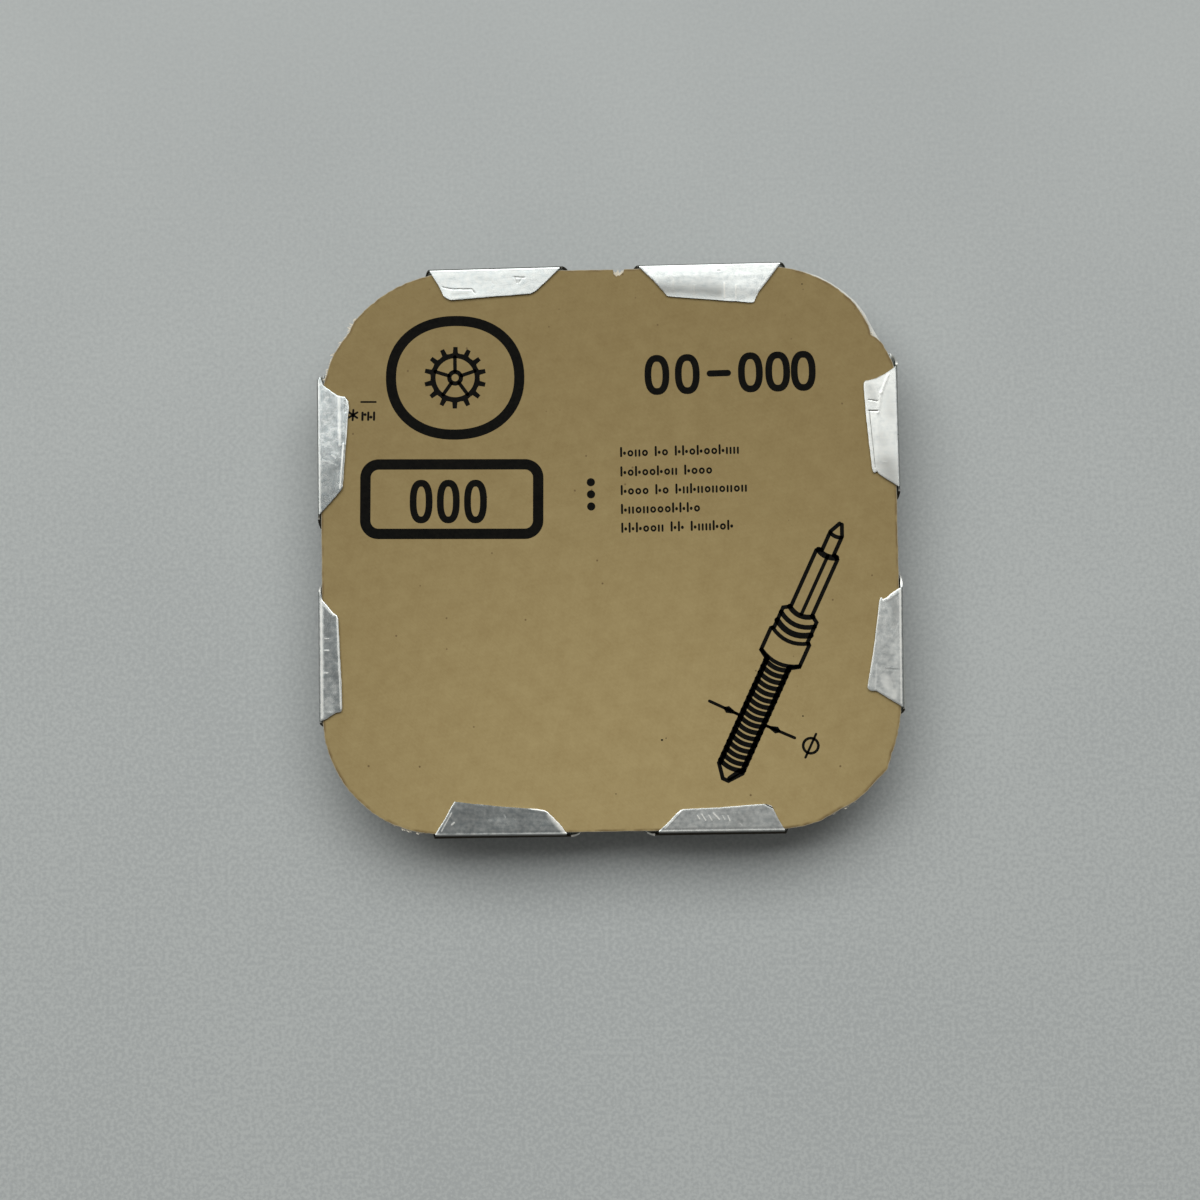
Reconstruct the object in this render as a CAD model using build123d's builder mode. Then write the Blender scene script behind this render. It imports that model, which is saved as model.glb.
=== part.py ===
from build123d import *
import math
import os

# A sealed trade packet of winding stems for a small wristwatch, lying with its card up.
# A clear bubble holds three loose stems, a printed card closes it, and a thin aluminium
# frame joins the two: the frame lies under the bubble's flange, and eight tabs on its edge
# are turned up round the card and folded down on its face. Opening the tabs frees the card.
#
# Origin: the middle of the face that the packet rests on. +Z is up, out of the card.
# +X is to the right and +Y is away from the reader, as the card is read. Millimetres.

# Card, die cut from board; its four corners are not quite alike
card_width = 47.0
card_depth = 46.1
card_thickness = 0.5
corner_top_right = 10.7
corner_top_left = 11.6
corner_bottom_left = 9.3
corner_bottom_right = 10.1
nick_width = 0.9
nick_depth = 0.45
nick_place = 0.7

# Clear bubble, formed from one sheet: a floor, drafted walls and a flat flange
bubble_sheet = 0.3
bubble_drop = 4.6
flange_width = 4.2
flange_inset = 0.1
pocket_corner = 6.4
pocket_draft = 8.0
floor_radius = 1.2
root_chamfer = 0.35

# Aluminium frame, pressed from one sheet
sheet = 0.2
frame_inset = 0.15
opening_gap = 0.15
ear_radius = 0.6
ear_flare = 0.75
ear_lap = 0.4
fold_reach = 0.5
fold_clearance = 0.03
tab_gap = 0.02

# Tabs: one trapezoid, as stamped; the shares below say how each of the eight came to lie
tab_root = 10.7
tab_length = 2.45
tab_slant = 1.55
tab_place = 8.9
tab_tip_radius = 0.25

# Winding stem, turned from steel rod: thread, barrel, lever groove, collar, square, pilot
thread_diameter = 0.9
thread_length = 8.0
thread_point = 0.42
point_flat = 0.12
barrel_diameter = 1.4
barrel_length = 0.95
barrel_chamfer = 0.12
groove_diameter = 0.86
groove_width = 0.4
collar_diameter = 1.28
collar_length = 0.4
collar_chamfer = 0.08
neck_diameter = 0.6
neck_length = 0.16
square_size = 0.62
square_corner_diameter = 0.82
square_length = 2.1
pilot_diameter = 0.42
pilot_length = 0.65
pilot_point = 0.4
stem_gap = 0.02

# The pocket leaves the same flange all round
pocket_width = card_width - 2 * flange_width
pocket_depth = card_depth - 2 * flange_width

# Heights, from the resting face up through the stack
floor_top = bubble_sheet
frame_top = bubble_drop
frame_bottom = frame_top - sheet
flange_top = bubble_drop + bubble_sheet
card_top = flange_top + card_thickness
fold_height = card_top + tab_gap

# Which way each side of the packet faces, in degrees anticlockwise from +X
side_turn = {"right": 0, "top": 90, "left": 180, "bottom": 270}
# How far out the folded tabs reach on each side
side_reach = {
    "right": card_width / 2 + fold_reach,
    "top": card_depth / 2 + fold_reach,
    "left": card_width / 2 + fold_reach,
    "bottom": card_depth / 2 + fold_reach,
}

# Each tab by name: its side, its place and root as shares of tab_place and tab_root, then
# its length at both ends as shares of tab_length and its slant at both ends as shares of
# tab_slant. Places and ends run anticlockwise round the packet.
tab_shares = {
    "tab_right_lower": ("right", -0.94, 0.92, 1.25, 0.80, 0.92, 0.56),
    "tab_right_upper": ("right", 1.09, 0.93, 0.94, 1.17, 0.81, 0.81),
    "tab_top_right": ("top", -0.96, 1.11, 1.37, 1.15, 1.37, 1.63),
    "tab_top_left": ("top", 1.02, 1.03, 0.90, 1.02, 1.43, 0.74),
    "tab_left_upper": ("left", -0.98, 1.03, 1.07, 0.83, 0.90, 1.16),
    "tab_left_lower": ("left", 0.99, 0.99, 0.73, 0.83, 1.00, 0.79),
    "tab_bottom_left": ("bottom", -1.04, 1.00, 1.16, 0.85, 1.01, 1.08),
    "tab_bottom_right": ("bottom", 0.99, 0.97, 0.78, 0.89, 1.25, 0.66),
}

# Where each stem lies in the pocket: shares of half its width and depth, and its heading
stem_place_shares = {
    "winding_stem_1": (-0.16, 0.42, 24.0),
    "winding_stem_2": (0.30, 0.02, -52.0),
    "winding_stem_3": (-0.10, -0.36, 8.0),
}


def card_shape(inset):
    """The card's outline, drawn in all round by inset."""
    corners = (
        (1, 1, corner_top_right),
        (-1, 1, corner_top_left),
        (-1, -1, corner_bottom_left),
        (1, -1, corner_bottom_right),
    )
    with BuildSketch() as shape:
        Rectangle(card_width - 2 * inset, card_depth - 2 * inset)
        for side_x, side_y, radius in corners:
            place = (side_x * card_width / 2, side_y * card_depth / 2, 0)
            corner = shape.vertices().sort_by_distance(place)[0]
            fillet(corner, radius - inset)
    return shape.sketch


def outward(side):
    """The direction in which a side faces."""
    turn = math.radians(side_turn[side])
    return Vector(math.cos(turn), math.sin(turn), 0)


def along(side):
    """The direction of a side's edge, anticlockwise round the packet."""
    return Vector(0, 0, 1).cross(outward(side))


def cross_section(side, place):
    """The plane across a side's edge at a place along it: X is outward and Y is up."""
    return Plane(
        origin=along(side) * place, x_dir=outward(side), z_dir=along(side) * -1
    )


def fold_axis_reach(side):
    """How far out the fold's axis lies: one sheet inside the folded tab's outer face."""
    return side_reach[side] - sheet


def folded_ear(side, place, root):
    """The frame's turned-up edge under a tab, with a hollow seat for the tab's fold."""
    reach = side_reach[side]
    fold_axis = fold_axis_reach(side)
    bend_middle = (reach - ear_radius, frame_bottom + ear_radius)
    inner_end = reach - fold_reach - frame_inset - ear_lap
    seat_radius = sheet + fold_clearance
    seat_angle = math.degrees(math.acos(sheet / seat_radius))
    seat_rise = math.sqrt(seat_radius**2 - sheet**2)
    with BuildPart() as ear:
        with BuildSketch(cross_section(side, place)):
            with BuildLine():
                Line((inner_end, frame_bottom), (bend_middle[0], frame_bottom))
                CenterArc(bend_middle, ear_radius, -90, 90)
                Line((reach, bend_middle[1]), (reach, fold_height - seat_rise))
                CenterArc(
                    (fold_axis, fold_height), seat_radius, -seat_angle, seat_angle - 90
                )
                Line(
                    (fold_axis, fold_height - seat_radius), (fold_axis, bend_middle[1])
                )
                CenterArc(bend_middle, ear_radius - sheet, 0, -90)
                Line((bend_middle[0], frame_top), (inner_end, frame_top))
                Line((inner_end, frame_top), (inner_end, frame_bottom))
            make_face()
        extrude(amount=root / 2 + ear_flare, both=True)
        # The ear's ends run in from the frame's edge to the tab's root
        with BuildSketch(Plane(origin=(0, 0, 0), x_dir=along(side), z_dir=outward(side))):
            with BuildLine():
                Polyline(
                    (place - root / 2 - ear_flare, frame_bottom),
                    (place + root / 2 + ear_flare, frame_bottom),
                    (place + root / 2, fold_height),
                    (place - root / 2, fold_height),
                    close=True,
                )
            make_face()
        extrude(amount=reach, mode=Mode.INTERSECT)
    return ear.part


def folded_tab(side, place, root, lengths, slants):
    """One tab, lying on the card: a trapezoid of sheet with its rounded fold."""
    reach = side_reach[side]
    fold_axis = fold_axis_reach(side)
    with BuildPart() as tab:
        lying = Plane(origin=(0, 0, fold_height), x_dir=outward(side), z_dir=(0, 0, 1))
        tip_start = (reach - lengths[0], place - root / 2 + slants[0])
        tip_end = (reach - lengths[1], place + root / 2 - slants[1])
        with BuildSketch(lying) as flat:
            with BuildLine():
                Polyline(
                    (fold_axis, place - root / 2),
                    (fold_axis, place + root / 2),
                    tip_end,
                    tip_start,
                    close=True,
                )
            make_face()
            for tip in (tip_start, tip_end):
                corner = flat.vertices().sort_by_distance((*tip, 0))[0]
                fillet(corner, tab_tip_radius)
        extrude(amount=sheet)
        with BuildSketch(cross_section(side, place)):
            with Locations((fold_axis, fold_height)):
                Circle(sheet)
        extrude(amount=root / 2, both=True)
    return tab.part


def winding_stem(x, y, heading):
    """One stem, lying on its barrel's edge and its thread's end, at a place and heading."""
    barrel_radius = barrel_diameter / 2
    thread_radius = thread_diameter / 2
    full_thread = thread_length - thread_point
    tilt = math.atan((barrel_radius - thread_radius) / full_thread)
    turn = math.radians(heading)
    axis = Vector(
        math.cos(turn) * math.cos(tilt), math.sin(turn) * math.cos(tilt), math.sin(tilt)
    )
    across = Vector(math.sin(turn), -math.cos(turn), 0)
    rise = floor_top + stem_gap + barrel_radius * math.cos(tilt)
    lying = Plane(origin=(x, y, rise), x_dir=axis, z_dir=across)

    # Lengths run from the barrel's shoulder, where the thread ends, towards the pilot
    groove_start = barrel_length
    collar_start = groove_start + groove_width
    neck_start = collar_start + collar_length
    square_start = neck_start + neck_length
    pilot_start = square_start + square_length
    point_start = pilot_start + pilot_length
    with BuildPart() as stem:
        with BuildSketch(lying):
            with BuildLine():
                Polyline(
                    (-thread_length, 0),
                    (-thread_length, point_flat / 2),
                    (-full_thread, thread_radius),
                    (0, thread_radius),
                    (0, barrel_radius),
                    (groove_start - barrel_chamfer, barrel_radius),
                    (groove_start, barrel_radius - barrel_chamfer),
                    (groove_start, groove_diameter / 2),
                    (collar_start, groove_diameter / 2),
                    (collar_start, collar_diameter / 2 - collar_chamfer),
                    (collar_start + collar_chamfer, collar_diameter / 2),
                    (neck_start - collar_chamfer, collar_diameter / 2),
                    (neck_start, collar_diameter / 2 - collar_chamfer),
                    (neck_start, neck_diameter / 2),
                    (square_start, neck_diameter / 2),
                    (square_start, square_corner_diameter / 2),
                    (pilot_start, square_corner_diameter / 2),
                    (pilot_start, pilot_diameter / 2),
                    (point_start, pilot_diameter / 2),
                    (point_start + pilot_point, point_flat / 2),
                    (point_start + pilot_point, 0),
                    close=True,
                )
            make_face()
        revolve(axis=Axis(lying.origin, lying.x_dir))
        # Four flats turn the middle length into the square that drives the clutch
        square_end = lying.from_local_coords((square_start, 0, 0))
        with BuildSketch(Plane(origin=square_end, x_dir=across, z_dir=axis)):
            Circle(square_corner_diameter)
            Rectangle(square_size, square_size, mode=Mode.SUBTRACT)
        extrude(amount=square_length, mode=Mode.SUBTRACT)
    return stem.part


os.makedirs("parts", exist_ok=True)

# The folded tabs, and the ears of the frame that carry them
ears = []
for tab_name, shares in tab_shares.items():
    tab_side, place_share, root_share = shares[:3]
    tab_middle = place_share * tab_place
    root_length = root_share * tab_root
    end_lengths = [share * tab_length for share in shares[3:5]]
    end_slants = [share * tab_slant for share in shares[5:7]]
    ears.append(folded_ear(tab_side, tab_middle, root_length))
    tab_part = folded_tab(tab_side, tab_middle, root_length, end_lengths, end_slants)
    tab_part.label = tab_name
    export_step(tab_part, f"parts/{tab_name}.step")

# The frame: a flat ring under the bubble's flange, with its eight ears
opening_spread = 2 * (root_chamfer + opening_gap)
frame_outline = card_shape(frame_inset)
with BuildPart() as frame:
    with BuildSketch(Plane.XY.offset(frame_bottom)):
        add(frame_outline)
        RectangleRounded(
            pocket_width + opening_spread,
            pocket_depth + opening_spread,
            pocket_corner + opening_spread / 2,
            mode=Mode.SUBTRACT,
        )
    extrude(amount=sheet)
    add(ears)
frame.part.label = "frame"
export_step(frame.part, "parts/frame.step")

# The bubble: pocket and flange as one block, then the cavity, one sheet inside it
flange_outline = card_shape(flange_inset)
draft_slope = math.tan(math.radians(pocket_draft))
wall_run = bubble_sheet / math.cos(math.radians(pocket_draft))
cavity_inset = wall_run - bubble_sheet * draft_slope
inner_root_chamfer = root_chamfer + bubble_sheet * (2 - math.sqrt(2))
with BuildPart() as bubble:
    with BuildSketch(Plane.XY.offset(bubble_drop)):
        add(flange_outline)
    extrude(amount=bubble_sheet)
    with BuildSketch(Plane.XY.offset(bubble_drop)):
        RectangleRounded(pocket_width, pocket_depth, pocket_corner)
    extrude(amount=-bubble_drop, taper=pocket_draft)
    level_faces = bubble.faces().filter_by(Axis.Z).sort_by(Axis.Z)
    fillet(level_faces[0].edges(), floor_radius)
    chamfer(level_faces[1].inner_wires()[0].edges(), root_chamfer)
    with BuildSketch(Plane.XY.offset(flange_top)):
        RectangleRounded(
            pocket_width - 2 * cavity_inset,
            pocket_depth - 2 * cavity_inset,
            pocket_corner - cavity_inset,
        )
    extrude(amount=-bubble_drop, taper=pocket_draft, mode=Mode.SUBTRACT)
    level_faces = bubble.faces().filter_by(Axis.Z).sort_by(Axis.Z)
    fillet(level_faces[1].edges(), floor_radius - bubble_sheet)
    chamfer(level_faces[-1].inner_wires()[0].edges(), inner_root_chamfer)
bubble.part.label = "bubble"
export_step(bubble.part, "parts/bubble.step")

# The card, with the torn nick at the middle of its top edge
card_outline = card_shape(0)
with BuildPart() as card:
    with BuildSketch(Plane.XY.offset(flange_top)):
        add(card_outline)
        with Locations((nick_place, card_depth / 2)):
            Rectangle(nick_width, 2 * nick_depth, mode=Mode.SUBTRACT)
    extrude(amount=card_thickness)
card.part.label = "card"
export_step(card.part, "parts/card.step")

# The three stems, loose in the pocket
for stem_name, (x_share, y_share, stem_heading) in stem_place_shares.items():
    stem_part = winding_stem(
        x_share * pocket_width / 2, y_share * pocket_depth / 2, stem_heading
    )
    stem_part.label = stem_name
    export_step(stem_part, f"parts/{stem_name}.step")
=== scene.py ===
import math

import bmesh
import bpy
from mathutils import Matrix, Vector, noise
from mathutils.geometry import tessellate_polygon


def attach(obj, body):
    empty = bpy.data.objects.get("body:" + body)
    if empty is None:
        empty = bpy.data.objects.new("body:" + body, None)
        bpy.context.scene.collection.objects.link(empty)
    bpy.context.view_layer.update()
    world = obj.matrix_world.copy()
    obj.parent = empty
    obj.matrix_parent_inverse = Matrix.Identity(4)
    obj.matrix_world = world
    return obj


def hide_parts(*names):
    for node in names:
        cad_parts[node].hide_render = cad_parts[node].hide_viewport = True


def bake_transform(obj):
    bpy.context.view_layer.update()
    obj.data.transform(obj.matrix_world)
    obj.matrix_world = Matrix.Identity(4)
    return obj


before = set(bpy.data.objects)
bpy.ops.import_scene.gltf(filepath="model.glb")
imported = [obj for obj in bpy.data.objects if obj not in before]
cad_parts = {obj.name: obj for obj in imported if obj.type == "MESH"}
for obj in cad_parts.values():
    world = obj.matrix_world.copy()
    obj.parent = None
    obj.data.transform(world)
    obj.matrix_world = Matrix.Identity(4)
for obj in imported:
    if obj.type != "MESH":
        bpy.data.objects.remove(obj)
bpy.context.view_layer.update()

# A sealed trade packet of winding stems, lying with its card up. Sizes here are in
# millimetres and become metres where a mesh is made. The packet is put together in the
# order below: bubble, stems, card with its print, aluminium frame, and the eight tabs.
mm = 0.001


# ---- Clear bubble ----
# Formed hot from one sheet of clear plastic: a flat floor, drafted walls and a flat flange.
# The card closes it. At one corner its flange was cut a little wider than the card.
bubble_sheet = 0.3
bubble_drop = 4.6
pocket_half = (19.3, 18.85)
pocket_corner = 6.4
pocket_draft = math.radians(8)
floor_radius = 1.2
root_radius = 0.35
flange_half = (23.4, 22.95)
flange_corners = (10.6, 11.5, 9.2, 10.0)
# How far the flange stands proud round its top right corner, by degrees round the corner
flange_proud = ((0, 0), (10, 0.2), (14.4, 0.4), (18, 0.42), (24.4, 0.24), (29, 0.08),
                (36, 0.34), (43, 0.5), (68, 0.52), (78, 0.2), (90, 0))
# The flange's cut edge: how wide its frosted band is, and how far its corners are eased
rim_width = 0.3
rim_ease = 0.03
rim_ease_up = 0.04
# Where loops cross the pocket's floor, as shares of its size
floor_shares = (0.04, 0.35, 0.7)
corner_steps = 14
side_steps = 10
floor_bend_steps = 8
root_bend_steps = 6


def between(table, place):
    """The value at a place in a table of (place, value) pairs, in straight runs."""
    for (start, low), (end, high) in zip(table, table[1:]):
        if place <= end:
            return low + (high - low) * max(0, place - start) / (end - start)
    return table[-1][1]


def rounded_loop(half, radii, height, proud=((0, 0), (90, 0))):
    """A rounded rectangle's points at one height, anticlockwise from its right side."""
    arcs = []
    for corner, (sign_x, sign_y) in enumerate(((1, 1), (-1, 1), (-1, -1), (1, -1))):
        arc = []
        for step in range(corner_steps + 1):
            turn = 90 * step / corner_steps
            angle = math.radians(90 * corner + turn)
            radius = radii[corner] + (between(proud, turn) if corner == 0 else 0)
            arc.append(Vector((
                sign_x * (half[0] - radii[corner]) + radius * math.cos(angle),
                sign_y * (half[1] - radii[corner]) + radius * math.sin(angle),
                height,
            )))
        arcs.append(arc)
    loop = []
    for arc, next_arc in zip(arcs, arcs[1:] + arcs[:1]):
        loop += arc
        for step in range(1, side_steps):
            loop.append(arc[-1].lerp(next_arc[0], step / side_steps))
    return loop


def skin(loops):
    """Points and faces of a closed skin over loops of equally many points."""
    count = len(loops[0])
    points = [tuple(point) for loop in loops for point in loop]
    faces = [tuple(range(count))[::-1]]
    for ring in range(len(loops) - 1):
        for place in range(count):
            here, ahead = ring * count + place, ring * count + (place + 1) % count
            faces.append((here, ahead, ahead + count, here + count))
    last = (len(loops) - 1) * count
    faces.append(tuple(range(last, last + count)))
    return points, faces


def add_object(name, data):
    """A new object in the scene."""
    thing = bpy.data.objects.new(name, data)
    bpy.context.scene.collection.objects.link(thing)
    return thing


def make_piece(name, points, faces, finishes, sharp_angle=32):
    """A closed mesh from points in millimetres, with its faces turned outward."""
    mesh = bpy.data.meshes.new(name)
    mesh.from_pydata([Vector(point) * mm for point in points], [], faces)
    for finish in finishes:
        mesh.materials.append(finish)
    work = bmesh.new()
    work.from_mesh(mesh)
    bmesh.ops.recalc_face_normals(work, faces=work.faces)
    work.to_mesh(mesh)
    work.free()
    mesh.shade_smooth()
    mesh.set_sharp_from_angle(angle=math.radians(sharp_angle))
    return add_object(name, mesh)


def place_node(tree, kind, inputs=(), **settings):
    """A shader node with its settings; each input takes a value or another node's output."""
    node = tree.nodes.new("ShaderNode" + kind)
    for setting, value in settings.items():
        setattr(node, setting, value)
    for socket, value in dict(inputs).items():
        if isinstance(value, bpy.types.NodeSocket):
            tree.links.new(value, node.inputs[socket])
        else:
            node.inputs[socket].default_value = value
    return node


def new_effect(name, inputs, outputs):
    """A shader node group to share, with its inputs (name: default) and its outputs."""
    effect = bpy.data.node_groups.new(name, "ShaderNodeTree")
    for socket, default in inputs.items():
        kind = "NodeSocketVector" if default is None else "NodeSocketFloat"
        made = effect.interface.new_socket(socket, in_out="INPUT", socket_type=kind)
        if default is not None:
            made.default_value = default
    for socket in outputs:
        effect.interface.new_socket(socket, in_out="OUTPUT", socket_type="NodeSocketFloat")
    return effect, effect.nodes.new("NodeGroupInput"), effect.nodes.new("NodeGroupOutput")


def place_effect(tree, effect, inputs):
    """A shared effect, placed in a material with its own values."""
    return place_node(tree, "Group", inputs, node_tree=effect)


def maths(tree, operation, *values):
    """What an operation makes of values or other nodes' outputs."""
    return place_node(tree, "Math", enumerate(values), operation=operation).outputs[0]


def noise_at(tree, place, scale, detail, roughness=0.5):
    """Noise from 0 to 1, by its scale to a millimetre, its octaves and their weight."""
    return place_node(tree, "TexNoise", {
        "Vector": place, "Scale": scale, "Detail": detail, "Roughness": roughness,
    }).outputs[0]


def ranged(tree, value, low, high, to_low=0.0, to_high=1.0):
    """A value carried from one range to another, and kept inside it."""
    return place_node(tree, "MapRange", {
        "Value": value, "From Min": low, "From Max": high, "To Min": to_low, "To Max": to_high,
    }).outputs[0]


def blend_tones(tree, share, shade, light, blend="MIX"):
    """A colour between two, by a share."""
    return place_node(tree, "Mix", {0: share, 6: shade, 7: light}, data_type="RGBA",
                      blend_type=blend).outputs[2]


def drawn_out(tree, place, stretch, turn=0):
    """A place for marks drawn out one way, which is turned in radians."""
    return place_node(tree, "Mapping", {
        "Vector": place, "Rotation": (0, 0, turn), "Scale": (stretch, 1, 1),
    }, vector_type="TEXTURE").outputs[0]


def dress(tree, shader, colour=None, roughness=None, relief=None):
    """Joins a colour, a roughness and a relief (height, depth in mm, strength) to a finish."""
    for socket, value in (("Base Color", colour), ("Roughness", roughness)):
        if value is not None:
            tree.links.new(value, shader.inputs[socket])
    if relief:
        height, depth, strength = relief
        bump = place_node(tree, "Bump", {
            "Height": height, "Distance": depth * mm, "Strength": strength,
        })
        tree.links.new(bump.outputs[0], shader.inputs["Normal"])


def new_finish(name, **values):
    """A material whose plain values are set on the shader's own sockets."""
    finish = bpy.data.materials.new(name)
    finish.use_nodes = True
    shader = finish.node_tree.nodes["Principled BSDF"]
    for socket, value in values.items():
        shader.inputs[socket.replace("_", " ")].default_value = value
    return finish, finish.node_tree, shader


def linear(red, green, blue):
    """A colour as a screen shows it, 0 to 255, turned into the shader's linear values."""
    shown = (value / 255 for value in (red, green, blue))
    return [((s + 0.055) / 1.055) ** 2.4 if s > 0.04045 else s / 12.92 for s in shown] + [1]


# Handling marks: fine scratches in two directions and soft smudges, from 0 to 1
marks_effect, marks_in, marks_out = new_effect(
    "handling marks", {"Place": None, "Smudge Size": 4.0}, ("Scratches", "Smudges"),
)
place = marks_in.outputs["Place"]
scratch_sets = []
for turn, stretch in ((0.5, 20), (-1.1, 14)):
    lines = noise_at(marks_effect, drawn_out(marks_effect, place, stretch, turn), 5.0, 1.0)
    broken = noise_at(marks_effect, place, 0.45 - 0.1 * turn, 0.0)
    scratch_sets.append(maths(
        marks_effect, "MULTIPLY", ranged(marks_effect, lines, 0.66, 0.74),
        ranged(marks_effect, broken, 0.5, 0.6),
    ))
scratches = maths(marks_effect, "MAXIMUM", *scratch_sets)
marks_effect.links.new(scratches, marks_out.inputs["Scratches"])
smudge_scale = maths(marks_effect, "DIVIDE", 1.0, marks_in.outputs["Smudge Size"])
smudges = noise_at(marks_effect, place, smudge_scale, 3.0)
marks_effect.links.new(ranged(marks_effect, smudges, 0.35, 0.7), marks_out.inputs["Smudges"])


def place_in_mm(tree):
    """A point's place on the object, in millimetres."""
    seen = place_node(tree, "TexCoord")
    return place_node(tree, "VectorMath", {
        0: seen.outputs["Object"], 1: (1 / mm,) * 3,
    }, operation="MULTIPLY").outputs[0]


# Clear, a little yellowed, with smudges that show in its gloss
clear_plastic, tree, shader = new_finish(
    "clear plastic", Base_Color=linear(250, 250, 243), Transmission_Weight=1.0, IOR=1.47,
)
place = place_in_mm(tree)
marks = place_effect(tree, marks_effect, {"Place": place, "Smudge Size": 5.0})
gloss = ranged(tree, marks.outputs["Smudges"], 0, 1, 0.02, 0.1)
dress(tree, shader, roughness=gloss, relief=(noise_at(tree, place, 0.35, 1.0), 0.015, 0.6))

# The flange's cut rim is frosted by the die
frosted_rim, tree, shader = new_finish("frosted rim", Roughness=0.55, IOR=1.47)
frost = noise_at(tree, place_in_mm(tree), 2.2, 4.0)
tone = blend_tones(tree, frost, linear(188, 190, 184), linear(232, 232, 226))
dress(tree, shader, tone, relief=(frost, 0.02, 0.8))


def pocket_loop(inset, height):
    """The pocket's wall drawn in by an inset, at one height."""
    half = (pocket_half[0] - inset, pocket_half[1] - inset)
    return rounded_loop(half, (pocket_corner - inset,) * 4, height)


def pocket_rows(floor_bend, root_bend, floor_height, flange_height):
    """Insets and heights of one side of the bubble's sheet, from its floor to its flange."""
    slope, rise = math.tan(pocket_draft), math.sin(pocket_draft)
    floor_foot = bubble_drop - floor_radius * (1 - rise)
    floor_inset = floor_foot * slope + floor_radius * math.cos(pocket_draft)
    root_foot = root_radius * (1 - rise)
    root_inset = root_foot * slope - root_radius * math.cos(pocket_draft)
    root_middle = bubble_drop - root_radius
    wall_turn = math.pi / 2 - pocket_draft
    rows = []
    for inset, middle, bend, start, turn, steps in (
        (floor_inset, floor_radius, floor_bend, 1.5 * math.pi, -wall_turn, floor_bend_steps),
        (root_inset, root_middle, root_bend, pocket_draft, wall_turn, root_bend_steps),
    ):
        for step in range(steps + 1):
            angle = start + turn * step / steps
            rows.append((inset + bend * math.cos(angle), middle + bend * math.sin(angle)))
    rows[0] = (rows[0][0], floor_height)
    rows[-1] = (rows[-1][0], flange_height)
    return rows


def flange_loop(inset, height):
    """The flange's edge drawn in by an inset, at one height."""
    half = (flange_half[0] - inset, flange_half[1] - inset)
    radii = [radius - inset for radius in flange_corners]
    return rounded_loop(half, radii, height, flange_proud)


outer_rows = pocket_rows(floor_radius, root_radius, 0, bubble_drop)
inner_rows = pocket_rows(
    floor_radius - bubble_sheet, root_radius + bubble_sheet,
    bubble_sheet, bubble_drop + bubble_sheet,
)
flange_top = bubble_drop + bubble_sheet
rim_rows = (
    (rim_width, bubble_drop), (rim_ease, bubble_drop), (0, bubble_drop + rim_ease_up),
    (0, flange_top - rim_ease_up), (rim_ease, flange_top), (rim_width, flange_top),
)


def floor_loops(row):
    """Loops over the pocket's floor, from near its middle out to its edge."""
    edge = pocket_loop(*row)
    return [[Vector((p.x * share, p.y * share, p.z)) for p in edge] for share in floor_shares]


loops = floor_loops(outer_rows[0]) + [pocket_loop(*row) for row in outer_rows]
rim_start = len(loops)
rim_end = rim_start + len(rim_rows) - 1
loops += [flange_loop(*row) for row in rim_rows]
loops += [pocket_loop(*row) for row in inner_rows[::-1]] + floor_loops(inner_rows[0])[::-1]
points, faces = skin(loops)
bubble = make_piece("clear_bubble", points, faces, [clear_plastic, frosted_rim])
loop_count = len(loops[0])
for ring in range(rim_start, rim_end):
    for place in range(loop_count):
        bubble.data.polygons[1 + ring * loop_count + place].material_index = 1
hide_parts("bubble")
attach(bubble, "packet")


# ---- Winding stems ----
# Turned from hard steel rod and polished: a 0.90 thread for the crown, a barrel with the
# lever's groove, a collar, four milled flats for the clutch, and a pilot with a point.
thread_length = 8.0
thread_pitch = 0.225
thread_crest = 0.45
thread_root = 0.32
thread_point = 0.42
thread_runout = 0.06
point_flat = 0.06
barrel_radius = 0.7
groove_start = 0.95
groove_radius = 0.43
collar_start = 1.35
collar_radius = 0.64
neck_start = 1.75
neck_radius = 0.3
square_start = 1.91
square_end = 4.01
square_half = 0.31
square_corner = 0.41
pilot_radius = 0.21
point_start = 4.66
stem_tip = 5.06
stem_gap = 0.02
rows_a_turn = 8
# The thread's valley and its flank, by how far round from the valley's middle, 0 to 1
thread_valley = 0.2
thread_flank = 0.62
# Chamfers and fillets, and the space between the two rows of a square shoulder
barrel_chamfer = 0.12
collar_chamfer = 0.08
fillet = 0.04
shoulder_step = 0.001
# Each stem's middle in the pocket and its heading
stem_places = {
    "winding_stem_1": (-3.088, 7.917, 24.0),
    "winding_stem_2": (5.79, 0.377, -52.0),
    "winding_stem_3": (-1.93, -6.786, 8.0),
}

polished_steel, tree, shader = new_finish("polished steel", Metallic=1.0)
place = place_in_mm(tree)
marks = place_effect(tree, marks_effect, {"Place": place, "Smudge Size": 1.5})
grain = noise_at(tree, place, 9.0, 3.0)
tone = blend_tones(tree, marks.outputs["Smudges"], linear(178, 180, 184), linear(214, 215, 217))
dress(tree, shader, tone, ranged(tree, grain, 0, 1, 0.16, 0.34), (grain, 0.002, 0.5))

flat_edge = math.degrees(math.acos(square_half / square_corner))
flat_turns = (-flat_edge, -30, -20, -10, 0, 10, 20, 30, flat_edge, 45)
stem_angles = [math.radians(90 * flat + turn) for flat in range(4) for turn in flat_turns]


def thread_radius(along, angle):
    """The thread's radius: a flat-topped ridge that winds once round in each pitch."""
    turn = (along / thread_pitch + angle / (2 * math.pi)) % 1
    ridge = min(1, max(0, (abs(turn - 0.5) * 2 - thread_valley) / thread_flank))
    cone = point_flat + (thread_crest - point_flat) * (along + thread_length) / thread_point
    return min(cone, thread_root + (thread_crest - thread_root) * ridge)


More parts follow.
